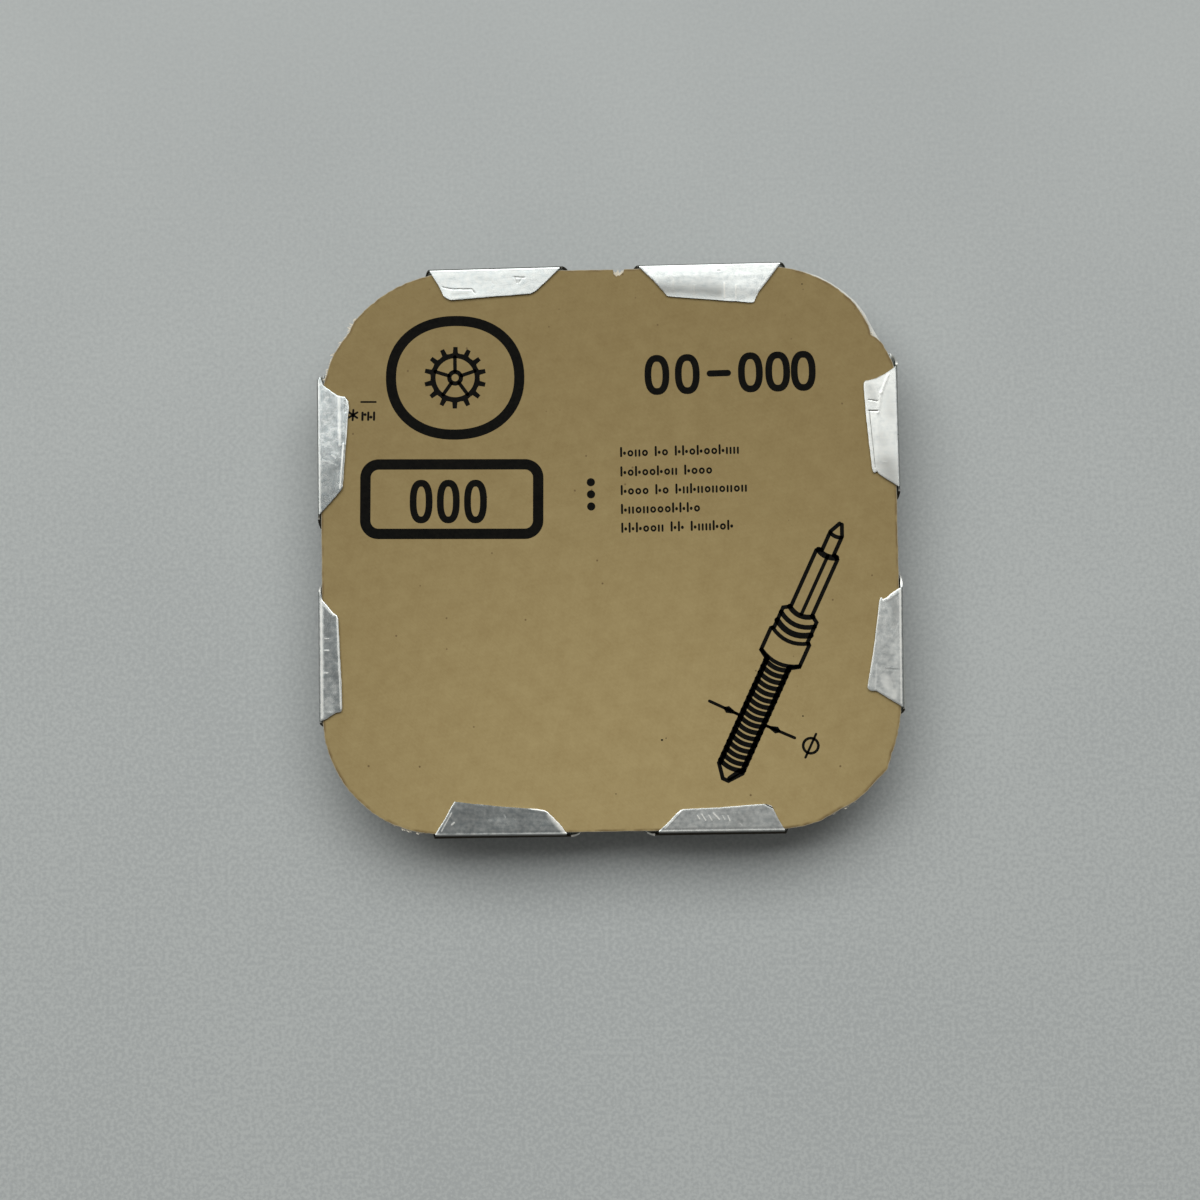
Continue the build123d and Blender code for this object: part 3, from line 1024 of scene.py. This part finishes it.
def ring_outline():
    """The ring's outer edge: round corners, run out to a straight line under each tab."""
    outline = []
    sides = list(side_turns)
    for corner, side in enumerate(sides):
        next_side = sides[(corner + 1) % 4]
        line, side_half = reaches[side] - base_inset, reaches[next_side] - base_inset
        radius = ring_corners[corner]
        roots = tab_roots(side)
        for low, high in roots:
            for along, ends_root in ((low, False), (high, True)):
                near_radius = radius if along > 0 else ring_corners[corner - 1]
                over_corner = max(0, abs(along) - (side_half - near_radius))
                curve = line - near_radius + math.sqrt(near_radius ** 2 - over_corner ** 2)
                step = [on_side(side, curve, along), on_side(side, line, along)]
                if curve > line - least_step:
                    step = step[1:]
                outline += step[::-1] if ends_root else step
        next_low = tab_roots(next_side)[0][0]
        start = math.asin(corner_share(roots[-1][1] - (side_half - radius), radius))
        end = math.acos(corner_share(-next_low - (line - radius), radius))
        for step in range(1, ring_corner_steps):
            angle = start + (end - start) * step / ring_corner_steps
            outline.append(on_side(side, line - radius + radius * math.cos(angle),
                                   side_half - radius + radius * math.sin(angle)))
    return outline


opening_half = (pocket_half[0] + opening_spread, pocket_half[1] + opening_spread)
opening = rounded_loop(opening_half, (pocket_corner + opening_spread,) * 4, 0)
ring_parts = ([], [])
add_slab(ring_parts, [ring_outline(), [p.xy for p in opening]],
         ring_middle - sheet / 2, ring_middle + sheet / 2)
ring = make_piece("aluminium_ring", *ring_parts, [sheet_metal])
ring_points = len(ring_parts[0])
note_wear_and_light(ring, ring_parts[0], [0.1] * ring_points, [0.0] * ring_points)
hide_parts("frame")
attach(ring, "packet")


# ---- Folded tabs ----
# Each is one piece with the ring: it bends up round the card's edge, folds over and lies on
# the card. Bending by hand left creases, rolled edges and burrs, and no two are alike.
bend_radius = 0.5
bend_height = ring_middle + bend_radius
lying_height = 5.515
fold_across = 0.08
fold_drop = 0.1
fold_low = lying_height - fold_drop
# How bright a painted highlight the fold gets towards its top, and by which share of its
# height its grime and painted shade are gone
fold_shine = 0.3
shade_ends_by, shade_end_rate = 0.85, 2
# How far in from its side's reach two points at a tab's fold lie; they are worked out but not used
blend_from, blend_to = 0.1, 0.5
# How far marks, creases and waves may lift the lying sheet or let it dip, and how much of
# them shows at the fold, and how fast that grows towards the tip
highest_rise, deepest_dip = 0.022, -0.025
shown_at_fold, shown_rate = 0.3, 4
# How wide a root's flares still are, by how far the sheet has risen; the bend takes up the
# first part of that rise, and the wall is through with it at a share of its own height
flare_widths = ((0, 1), (0.35, 0.75), (0.7, 0.3), (1, 0))
bend_part = 0.7
crest_in_at = 0.4
# The wall over the bend, from a bright ledge up to the fold: share of its height, and how
# far it has drawn in
wall_steps = ((0, 0), (0.12, 0.03), (0.22, 0.3), (0.3, 0.75), (0.38, 0.93), (1, 1))
# A painted highlight along the wall's ledge: where, by share of its height, how wide, how bright
ledge_at, ledge_width, ledge_shine = 0.1, 0.12, 1.3
# Above the ledge the wall's grime and painted shade thin out: from which share of its height,
# over how much, and how much of them is gone
thinning_from, thinning_run, shade_gone = 0.42, 0.2, 0.65
# How bright a painted highlight the sheet has there, how much a flare adds, and how dark a
# painted shade a flare has beside its pale line
wall_shine, flare_shine, flare_shade = 0.25, 0.1, 0.4
# Along the fold: how wide its ridge is, and the hollow behind it: depth as a share of the
# ridge, place and width
ridge_width = 0.07
hollow_share, hollow_at, hollow_width = 0.6, 0.2, 0.1
# The sheet's own waves, and how its cut edges waver; the edges' rub, painted highlight and
# painted shade are marked unevenly, and they are rounded off: the least rounding, and what
# being rubbed adds
broad_wave, fine_wave = 0.006, 0.0018
waver = 0.02
edge_width, edge_mark, uneven_mark = 0.075, 0.75, 0.45
round_width, least_round, rubbed_round = 0.13, 0.002, 0.014
# How finely a tab is laid out, along its side and from its root to its tip
even_columns = 146
end_share = 0.003
bend_rows, wall_rows, fold_rows, lying_rows = 8, 14, 9, 42
before_tip = 0.988
# Each tab's edges against straight lines: how far they stand out, by share, at the low end,
# the high end and the tip
edge_shapes = {
    "tab_right_lower": (
        ((0, 0), (0.35, -0.1), (0.75, -0.22), (0.94, 0), (1, -0.05)),
        ((0, 0), (0.45, -0.08), (0.7, -0.25), (0.9, -0.2), (0.95, 0), (1, 0.03)),
        ((0, -0.04), (0.03, 0.02), (0.5, -0.05), (0.97, 0.02), (1, -0.02)),
    ),
    "tab_right_upper": (
        ((0, 0), (0.5, -0.05), (0.78, -0.12), (0.84, -0.28), (0.95, 0), (1, 0)),
        ((0, 0), (0.3, -0.18), (0.6, -0.2), (0.85, -0.06), (0.96, 0.04), (1, -0.05)),
        ((0, -0.06), (0.04, 0), (0.3, 0.05), (0.6, 0.06), (0.96, 0), (1, -0.05)),
    ),
    "tab_top_right": (
        ((0, 0), (0.3, -0.06), (0.55, -0.13), (0.75, -0.18), (0.9, -0.13), (1, -0.03)),
        ((0, 0), (0.5, -0.12), (0.85, -0.06), (1, 0)),
        ((0, -0.12), (0.03, -0.01), (0.5, 0), (0.98, 0), (1, -0.05)),
    ),
    "tab_top_left": (
        ((0, 0), (0.5, 0.02), (0.9, 0), (1, -0.12)),
        ((0, 0), (0.5, -0.06), (0.8, -0.04), (0.92, 0.02), (1, -0.12)),
        ((0, -0.1), (0.03, 0), (0.5, -0.02), (0.92, 0), (0.96, -0.03), (1, -0.2)),
    ),
    "tab_left_upper": (
        ((0, 0.25), (0.05, 0.6), (0.1, 0.22), (0.15, -0.02), (0.3, -0.08), (0.65, -0.2),
         (0.85, -0.08), (0.94, 0.03), (1, -0.1)),
        ((0, 0), (0.6, 0.03), (0.94, 0), (1, -0.1)),
        ((0, -0.25), (0.03, -0.08), (0.1, 0.04), (0.25, 0), (0.5, 0.02), (0.97, 0), (1, -0.08)),
    ),
    "tab_left_lower": (
        ((0, 0.5), (0.05, 0.25), (0.09, 0), (0.4, -0.05), (0.75, -0.1), (0.95, 0), (1, -0.06)),
        ((0, 0), (0.3, 0.03), (0.5, -0.06), (0.75, -0.12), (0.95, -0.02), (1, -0.05)),
        ((0, -0.08), (0.03, 0), (0.4, 0.02), (0.7, 0.06), (0.97, 0.02), (1, -0.05)),
    ),
    "tab_bottom_left": (
        ((0, 0), (0.5, -0.05), (0.9, 0.02), (1, 0)),
        ((0, 0), (0.3, 0.12), (0.7, 0.1), (0.92, 0.02), (1, -0.08)),
        ((0, 0), (0.5, -0.03), (0.9, 0.03), (0.97, 0), (1, -0.06)),
    ),
    "tab_bottom_right": (
        ((0, 0), (0.4, -0.04), (0.8, 0.02), (1, -0.06)),
        ((0, 0), (0.4, -0.06), (0.85, -0.02), (0.95, 0.03), (1, -0.1)),
        ((0, -0.06), (0.03, 0), (0.4, -0.04), (0.8, 0.03), (0.95, 0.04), (1, -0.12)),
    ),
}
# How bright each tab's sheared edges are, rubbed and with a painted highlight: low end, high
# end, and tip by share; one below 0 is painted shade, the dark of the gap and shadow at that
# edge
edge_highlights_and_shade = {
    "tab_right_lower": (0.5, 0.7, ((0, 0.9), (1, 0.9))),
    "tab_right_upper": (0.4, -0.5, ((0, 0.6), (0.6, 0.5), (1, 0.4))),
    "tab_top_right": (0.6, 0.5, ((0, 0.5), (0.3, 0.2), (1, 0.1))),
    "tab_top_left": (-0.3, -0.3, ((0, -0.2), (0.9, 0.1), (1, -0.4))),
    "tab_left_upper": (0.12, -0.4, ((0, 0.9), (0.5, 0.6), (1, 0.9))),
    "tab_left_lower": (0.7, 0.6, ((0, 0.6), (0.4, 0.8), (1, 0.9))),
    "tab_bottom_left": (0.9, 0.8, ((0, 0.1), (0.8, 0.1), (0.88, 0.9), (1, 0.9))),
    "tab_bottom_right": (0.6, 0.45, ((0, 0.5), (1, 0.6))),
}
# Each tab's two flares: above 0, how pale a painted highlight their sheared end has, and they
# have painted shade inside; below 0, how far the painted shade of their end runs in, in mm,
# and they have a pale painted highlight inside
flare_looks = {
    "tab_right_lower": (-0.1, 0.6), "tab_right_upper": (-0.16, 0.6),
    "tab_top_right": (-0.22, -0.2), "tab_top_left": (-0.25, -0.22),
    "tab_left_upper": (0.4, -0.14), "tab_left_lower": (0.6, -0.12),
    "tab_bottom_left": (-0.3, 0.9), "tab_bottom_right": (0.9, -0.1),
}
pale_width, flare_run = 0.16, 1.2
# Each tab as a whole: how rubbed it is, how high a ridge its fold has, how grimy the fold
# is with painted shade in it and on the wall below, how far its tip dips past a bend at an
# inset, and how far its wall stands proud of it
tab_states = {
    "tab_right_lower": (0.33, 0.006, 0.4, 0, 1, 0.13),
    "tab_right_upper": (0.5, 0.004, 0.4, 0, 1, 0.13),
    "tab_top_right": (0.28, 0.002, 0.75, 0.03, 1.1, 0.07),
    "tab_top_left": (0.23, 0.002, 0.75, 0, 1, 0.1),
    "tab_left_upper": (0, 0.006, 0.4, 0, 1, 0.13),
    "tab_left_lower": (0.02, 0.008, 0.4, 0, 1, 0.13),
    "tab_bottom_left": (0.05, 0.018, 1.0, 0, 1, 0.2),
    "tab_bottom_right": (0.3, 0.018, 1.0, 0, 1, 0.2),
}
# Each tab's marks: from (along, inset) to (along, inset), half width, height, and how
# rubbed; a mark rubbed below 0 darkens the sheet instead
tab_marks = {
    "tab_right_lower": (
        (-13.0, 0.3, -3.8, 0.25, 0.18, 0, 0.75), (-12.9, 0.8, -8.0, 0.6, 0.6, 0, 0.42),
        (-11.8, 2.45, -9.8, 2.3, 0.13, 0, 0.5), (-4.0, 0.4, -4.6, 1.3, 0.12, 0.008, 0.4),
        (-10.2, 0.6, -10.15, 1.6, 0.04, 0.004, -0.4), (-10.5, 0.5, -10.4, 1.4, 0.03, 0.004, 0.4),
        (-6.2, 1.4, -6.6, 1.0, 0.1, 0, 0.3), (-7.4, 1.7, -7.5, 1.4, 0.07, 0, 0.4),
        (-4.7, 0.7, -6.6, 0.8, 0.4, 0, -0.24), (-12.4, 1.0, -11.0, 1.7, 0.7, 0, 0.55),
    ),
    "tab_right_upper": (
        (13.9, 0.85, 12.46, 1.45, 0.1, 0.012, 0.5), (12.46, 1.45, 10.83, 1.75, 0.12, 0.01, 0.5),
        (10.83, 1.75, 6.8, 1.9, 0.16, 0.006, 0.4), (13.0, 2.1, 6.6, 2.2, 0.34, 0, 0.5),
        (11.9, 2.5, 11.77, 1.75, 0.035, -0.02, -0.8), (11.0, 2.5, 10.98, 1.75, 0.05, -0.02, -1.0),
        (6.72, 1.1, 6.74, 1.45, 0.035, 0.006, 0.8), (10.9, 2.45, 6.3, 2.05, 0.03, -0.012, -0.7),
        (6.6, 1.1, 4.9, 0.6, 0.95, 0, -0.34), (12.9, 2.4, 11.9, 2.1, 0.45, 0, -0.2),
        (12.4, 0.8, 10.6, 0.7, 0.5, 0, -0.12), (8.9, 1.5, 8.2, 1.3, 0.4, 0, -0.1),
    ),
    "tab_top_right": (
        (-9.3, 2.5, -4.6, 2.2, 0.75, 0, -0.46), (-12.4, 2.7, -9.3, 2.5, 0.6, 0, -0.28),
        (-14.0, 0.5, -3.3, 0.5, 0.8, 0, 0.34), (-9.83, 1.75, -9.83, 2.95, 0.06, 0.006, 1.0),
        (-10.78, 1.95, -10.76, 3.05, 0.05, 0.006, 0.9), (-7.35, 1.9, -7.3, 2.7, 0.06, 0.005, 0.8),
        (-7.1, 2.0, -7.05, 2.65, 0.05, 0.004, 0.6), (-5.65, 1.5, -5.62, 2.3, 0.05, 0.004, 0.7),
        (-4.97, 1.5, -4.93, 1.9, 0.04, 0.004, 0.4), (-9.5, 0.7, -9.3, 0.72, 0.04, -0.01, -0.4),
    ),
    "tab_top_left": (
        (13.5, 1.2, 4.5, 1.2, 3.0, 0, -0.19), (7.3, 1.35, 6.9, 1.1, 0.3, 0, -0.3),
        (10.6, 1.0, 9.4, 1.1, 0.4, 0, -0.25), (12.6, 2.3, 11.4, 2.2, 0.3, 0, -0.28),
        (13.43, 1.69, 12.73, 1.85, 0.04, -0.014, -0.7),
        (12.73, 1.85, 11.0, 1.9, 0.035, -0.014, -0.8),
        (11.0, 1.9, 10.74, 2.25, 0.035, -0.014, -0.8), (7.5, 0.95, 6.65, 1.0, 0.05, -0.012, -0.6),
        (7.4, 1.05, 7.27, 1.43, 0.04, -0.012, -0.5), (6.9, 1.1, 7.1, 1.4, 0.04, -0.008, -0.4),
        (9.3, 1.3, 9.25, 1.5, 0.03, -0.006, -0.3),
    ),
    "tab_left_upper": (
        (-6.4, 1.0, -4.4, 0.9, 1.3, 0, -0.3), (-12.2, 1.6, -11.9, 1.2, 0.6, 0, -0.1),
        (-11.6, 0.9, -9.2, 0.9, 1.3, 0, 0.1), (-13.0, 1.9, -8.9, 1.95, 0.12, 0.008, 0.42),
        (-9.0, 2.24, -5.3, 1.93, 0.045, 0.01, 0.9), (-13.9, 0.25, -8.0, 0.25, 0.14, 0, 0.25),
        (-8.1, 0.22, -3.5, 0.2, 0.12, 0.004, 0.8), (-8.1, 1.27, -7.85, 1.62, 0.03, 0.003, 0.6),
        (-7.75, 0.47, -7.2, 1.71, 0.025, 0.002, 0.45), (-7.6, 0.4, -7.5, 0.9, 0.025, 0.002, 0.4),
        (-12.6, 2.45, -11.6, 2.4, 0.03, -0.012, -0.4), (-8.9, 2.4, -5.6, 2.12, 0.025, -0.01, -0.5),
    ),
    "tab_left_lower": (
        (5.3, 1.58, 12.85, 1.83, 0.06, 0.006, 0.7), (3.9, 0.27, 13.5, 0.25, 0.17, 0, 0.7),
        (7.03, 0.55, 7.03, 0.9, 0.03, 0.004, 0.8), (8.0, 0.5, 8.0, 0.85, 0.05, 0.004, 0.7),
        (9.85, 0.42, 9.85, 0.8, 0.04, 0.004, 0.8), (12.0, 0.8, 12.9, 1.0, 0.55, 0, 0.24),
        (10.6, 1.0, 11.4, 1.1, 0.6, 0, 0.14), (13.05, 0.75, 13.12, 1.1, 0.04, 0.006, 0.6),
        (4.1, 0.3, 5.1, 1.3, 0.1, 0, 0.5),
    ),
    "tab_bottom_left": (
        (-14.3, 0.36, -4.0, 0.34, 0.05, 0, 0.5), (-14.05, 0.62, -13.2, 2.1, 0.04, 0.01, 0.8),
        (-5.2, 1.9, -4.0, 0.4, 0.24, 0, 0.75), (-13.2, 1.15, -13.0, 1.32, 0.06, 0.006, 0.9),
        (-6.5, 2.35, -5.4, 2.15, 0.08, 0.004, 0.9), (-10.0, 1.5, -7.9, 1.4, 0.25, 0, 0.16),
        (-8.9, 1.9, -8.8, 1.7, 0.07, 0, 0.4), (-12.4, 2.2, -9.0, 1.9, 0.5, 0, -0.15),
    ),
    "tab_bottom_right": (
        (4.0, 0.4, 13.8, 0.4, 0.07, 0, 0.6), (6.85, 1.63, 7.03, 1.32, 0.05, 0.006, 1.0),
        (7.22, 1.69, 7.53, 1.2, 0.05, 0.006, 1.0), (7.78, 1.63, 8.03, 1.2, 0.045, 0.005, 0.9),
        (8.15, 1.8, 8.65, 1.26, 0.05, 0.005, 1.0), (8.9, 1.57, 9.08, 1.26, 0.04, 0.005, 0.8),
        (9.33, 1.57, 9.49, 1.14, 0.045, 0.005, 1.0), (10.3, 0.95, 10.5, 0.75, 0.04, 0, 0.6),
        (12.43, 2.42, 13.05, 2.1, 0.065, -0.02, -1.0), (4.2, 0.55, 5.5, 1.9, 0.05, 0.01, 0.6),
        (5.2, 0.6, 6.8, 0.75, 0.2, 0, 0.35),
    ),
}


def part_way(pair, share):
    """The value a share of the way from one end to the other."""
    return pair[0] + (pair[1] - pair[0]) * share


def tab_edges(tab_name, step):
    """Where a tab's two ends lie along its side, by how far it has run from fold to tip."""
    _, fold_ends, _, tip_ends, _, _ = tabs[tab_name]
    low_shape, high_shape, _ = edge_shapes[tab_name]
    wobble = waver * noise.noise((step * 9, len(tab_name), fold_ends[0]))
    return (part_way((fold_ends[0], tip_ends[0]), step) - between(low_shape, step) + wobble,
            part_way((fold_ends[1], tip_ends[1]), step) + between(high_shape, step) + wobble)


def marks_at(tab_name, along, inset):
    """The height, paling and darkening that a tab's marks give at one place."""
    height, paling, darkening = 0.0, tab_states[tab_name][0], 0.0
    spot = Vector((along, inset))
    for along_1, inset_1, along_2, inset_2, width, rise, rubbing in tab_marks[tab_name]:
        start, run = Vector((along_1, inset_1)), Vector((along_2 - along_1, inset_2 - inset_1))
        share = min(1, max(0, (spot - start).dot(run) / run.length_squared))
        near = math.exp(-((spot - start - run * share).length / width) ** 2)
        height += rise * near
        paling = max(paling, rubbing * near)
        darkening = max(darkening, -rubbing * near)
    return height, paling, darkening


def root_point(tab_name, kind, step, share, wall, fold_face):
    """A middle point under a tab's fold (base, bend or wall), with painted highlight, grime and
    shade.
    """
    side, fold_ends, _, _, _, flares = tabs[tab_name]
    fold_grime_and_shade = tab_states[tab_name][2]
    risen = {"base": 0, "bend": bend_part * step,
             "wall": bend_part + (1 - bend_part) * min(1, step / crest_in_at)}[kind]
    spread = between(flare_widths, risen)
    root_ends = (fold_ends[0] - flares[0] * spread, fold_ends[1] + flares[1] * spread)
    along = part_way(root_ends, share)
    from_end = min(share, 1 - share) * (fold_ends[1] - fold_ends[0])
    # Near a root's ends: a pale painted highlight at the sheared end with painted shade inside, or
    # painted shade at the end with a painted highlight inside
    look = flare_looks[tab_name][0 if share < 0.5 else 1]
    flare = math.exp(-(from_end / flare_run) ** 2)
    shine, shade = wall_shine + flare_shine * flare, math.exp(-(from_end / look) ** 2)
    if look > 0:
        line = look * math.exp(-(from_end / pale_width) ** 2)
        shine, shade = max(wall_shine * (1 - flare), line), flare_shade * flare * (1 - line)
    if kind == "base":
        start = reaches[side] - base_inset
        return start + step * (wall - bend_radius - start), along, ring_middle, shine, shade
    if kind == "bend":
        angle = math.radians(90 * step)
        return (wall - bend_radius + bend_radius * math.sin(angle), along,
                bend_height - bend_radius * math.cos(angle), shine, shade)
    # The wall: a painted highlight along its ledge, and grime with painted shade that thins out
    # above
    ledge = math.exp(-((step - ledge_at) / ledge_width) ** 2)
    less_shade = 1 - shade_gone * min(1, max(0, step - thinning_from) / thinning_run)
    return (part_way((wall, fold_face), between(wall_steps, step)), along,
            part_way((bend_height, fold_low), step), (ledge_shine - fold_grime_and_shade) * ledge,
            fold_grime_and_shade * less_shade * (1 - 2 * ledge * (1 - fold_grime_and_shade)))


def lying_point(tab_name, step, share, fold_inset, start):
    """A middle point of a tab's sheet on the card, its paling and darkening, painted light
    included.
    """
    side, fold_ends, _, _, tip_insets, _ = tabs[tab_name]
    _, ridge, _, tip_dip, dip_inset, _ = tab_states[tab_name]
    reach = reaches[side]
    tip_inset = part_way(tip_insets, share) + between(edge_shapes[tab_name][2], share)
    tip_inset += waver * noise.noise((share * 14, 2.2, fold_ends[0]))
    outward = part_way((start, reach - tip_inset), step)
    ends = tab_edges(tab_name, step)
    along = part_way(ends, share)
    inset = reach - outward
    height, paling, darkening = marks_at(tab_name, along, inset)
    from_fold = inset - fold_inset - fold_across
    height += ridge * math.exp(-(from_fold / ridge_width) ** 2)
    height -= hollow_share * ridge * math.exp(-((from_fold - hollow_at) / hollow_width) ** 2)
    height -= tip_dip * max(0, inset - dip_inset) / (tip_inset - dip_inset)
    height += broad_wave * noise.noise((along * 0.5, inset * 0.6, len(tab_name)))
    height += fine_wave * noise.noise((along * 1.9, inset * 2.3, 4.5 + fold_ends[0]))
    # Sheared edges: rubbed bright with a painted highlight, or painted shade where below 0
    low_edge_tone, high_edge_tone, tip_edge_tones = edge_highlights_and_shade[tab_name]
    span = ends[1] - ends[0]
    edges = ((share * span, low_edge_tone), ((1 - share) * span, high_edge_tone),
             ((1 - step) * (tip_inset - fold_inset - fold_across), between(tip_edge_tones, share)))
    broken = edge_mark + uneven_mark * noise.noise((along * 1.2, inset * 1.2, 7.7))
    rounded = 0
    for away, brightness in edges:
        near = broken * math.exp(-(away / edge_width) ** 2)
        paling, darkening = max(paling, brightness * near), max(darkening, -brightness * near)
        rounding = least_round + rubbed_round * max(0, brightness)
        rounded = max(rounded, rounding * max(0, 1 - away / round_width) ** 2)
    shown = min(1, step * shown_rate + shown_at_fold)
    height = min(highest_rise, max(deepest_dip, shown * height)) - rounded
    return outward, along, lying_height + max(deepest_dip, height), paling, darkening


def tab_point(tab_name, row, share):
    """A middle point of a tab's sheet (outward, along, up), its paling and darkening, painted
    light included.
    """
    side, _, fold_insets, _, _, _ = tabs[tab_name]
    _, _, fold_grime_and_shade, _, _, proud = tab_states[tab_name]
    kind, step = row
    fold_inset = part_way(fold_insets, share)
    wall = reaches[side] - max(0, fold_inset - proud) - sheet / 2
    fold_face = reaches[side] - fold_inset - sheet / 2
    if kind == "lying":
        return lying_point(tab_name, step, share, fold_inset, fold_face - fold_across)
    # The fold: a painted highlight grows towards its top, and grime with painted shade ends below
    # it
    if kind == "fold":
        angle = math.radians(90 * step)
        return (fold_face - fold_across + fold_across * math.cos(angle),
                part_way(tab_edges(tab_name, 0), share),
                fold_low + fold_drop * math.sin(angle), fold_shine * step,
                fold_grime_and_shade * min(1, max(0, (shade_ends_by - step) * shade_end_rate)))
    return root_point(tab_name, kind, step, share, wall, fold_face)


def grid_faces(rows, columns):
    """The faces of a grid of points that run row by row."""
    return [
        (here, here + 1, here + 1 + columns, here + columns)
        for row in range(rows - 1) for here in range(row * columns, (row + 1) * columns - 1)
    ]


tab_rows = [("base", 0), ("base", 1)] + [
    (kind, step / steps)
    for kind, steps in (("bend", bend_rows), ("wall", wall_rows), ("fold", fold_rows))
    for step in range(1, steps + 1)
]
tab_rows += [("lying", step / lying_rows) for step in range(1, lying_rows)]
tab_rows += [("lying", before_tip), ("lying", 1)]
shares = [step / even_columns for step in range(1, even_columns)]
shares = [0, end_share] + shares + [1 - end_share, 1]
rows, columns = len(tab_rows), len(shares)

for tab_name, (side, fold_ends, *_) in tabs.items():
    grid = [[tab_point(tab_name, row, share) for share in shares] for row in tab_rows]
    middles = [[Vector(point[:3]) for point in row] for row in grid]
    outer_points, inner_points, spots = [], [], []
    run = 0
    for number, row in enumerate(middles):
        row_before, row_after = middles[max(number - 1, 0)], middles[min(number + 1, rows - 1)]
        run += (row[columns // 2] - row_before[columns // 2]).length
        for column, point in enumerate(row):
            across = row[min(column + 1, columns - 1)] - row[max(column - 1, 0)]
            facing = (row_after[column] - row_before[column]).cross(across).normalized()
            if number == 0:
                facing = Vector((0, 0, -1))
            for half, side_points in ((sheet / 2, outer_points), (-sheet / 2, inner_points)):
                outward, along, up = point + facing * half
                side_points.append((*on_side(side, outward, along), up))
            spots.append((*on_side(side, reaches[side] + run, point.y), 0))
    count = len(outer_points)
    faces = []
    for quad in grid_faces(rows, columns):
        faces += [quad, tuple(corner + count for corner in quad[::-1])]
    rim = list(range(columns))
    rim += [row * columns + columns - 1 for row in range(1, rows)]
    rim += [(rows - 1) * columns + column for column in range(columns - 2, -1, -1)]
    rim += [row * columns for row in range(rows - 2, 0, -1)]
    for here, ahead in zip(rim, rim[1:] + rim[:1]):
        faces.append((here, ahead, ahead + count, here + count))
    tab = make_piece("folded_" + tab_name, outer_points + inner_points, faces, [sheet_metal], 40)
    rubs_and_highlights, grimes_and_shade = ([point[part] for row in grid for point in row] for part in (3, 4))
    note_wear_and_light(tab, spots * 2, rubs_and_highlights * 2, grimes_and_shade * 2)
    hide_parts(tab_name)
    middle = sum(fold_ends) / 2
    low = Vector((*on_side(side, reaches[side] - blend_from, middle), bend_height)) * mm
    high = Vector((*on_side(side, reaches[side] - blend_to, middle), lying_height)) * mm
    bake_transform(tab)


# ---- Floor, light and camera ----
# The packet lies on a sheet of pale grey plastic with a fine satin grain, under soft light
# that comes mostly from beyond its top edge. The camera hangs over it, a little below.
floor_half = 1500
floor_drop = 0.02

satin_floor, tree, shader = new_finish("satin grey floor", Roughness=0.6,
                                      Specular_IOR_Level=0.3)
place = place_in_mm(tree)
apart = place_node(tree, "SeparateXYZ", {"Vector": place})
# The grain's tone and relief grow stronger towards the bottom
grain_strength = ranged(tree, apart.outputs["Y"], 45.0, -45.0, 0.25, 1.0)
centred = maths(tree, "SUBTRACT", noise_at(tree, place, 3.2, 2.0), 0.5)
grain = maths(tree, "MULTIPLY", centred, grain_strength)
cloud = noise_at(tree, place, 0.04, 2.0)
share = maths(tree, "MULTIPLY_ADD", grain, 4.8, cloud)
tone = blend_tones(tree, share, linear(168, 172, 171), linear(180, 184, 182))
dress(tree, shader, tone, relief=(grain, 0.02, 0.4))
mesh = bpy.data.meshes.new("floor")
floor_lines = (-floor_half, -60, -30, 0, 30, 60, floor_half)
points = [Vector((x, y, -floor_drop)) * mm for y in floor_lines for x in floor_lines]
mesh.from_pydata(points, [], grid_faces(len(floor_lines), len(floor_lines)))
mesh.materials.append(satin_floor)
floor = add_object("floor", mesh)

sky = bpy.data.worlds.new("soft room")
sky.use_nodes = True
bpy.context.scene.world = sky
sky_light = sky.node_tree.nodes["Background"]
sky_light.inputs["Color"].default_value = (1.0, 0.985, 0.965, 1)
sky_light.inputs["Strength"].default_value = 0.18

panel = bpy.data.lights.new("soft panel", "AREA")
panel.shape = "RECTANGLE"
panel.size = 1.5
panel.size_y = 0.66
panel.energy = 10.15
panel.color = (0.99, 1.0, 1.0)
panel_lamp = add_object("soft panel", panel)
panel_lamp.location = (-0.07, 0.497, 0.723)
panel_lamp.rotation_euler = (-panel_lamp.location).to_track_quat("-Z", "Y").to_euler()

camera_data = bpy.data.cameras.new("camera")
camera_data.lens = 71.1
camera_data.sensor_width = 36
camera_data.clip_start = 0.01
camera = add_object("camera", camera_data)
camera_place = Vector((2.0135, -14.990, 199.468))
camera_aim = Vector((-0.903, -3.913, 0))
camera_up = Vector((0.0161, 0.9983, 0.0552))
back = (camera_place - camera_aim).normalized()
across = camera_up.cross(back).normalized()
camera.matrix_world = Matrix.Translation(camera_place * mm) @ Matrix(
    (across, back.cross(across), back)
).transposed().to_4x4()
bpy.context.scene.camera = camera
bpy.context.scene.view_settings.view_transform = "Standard"
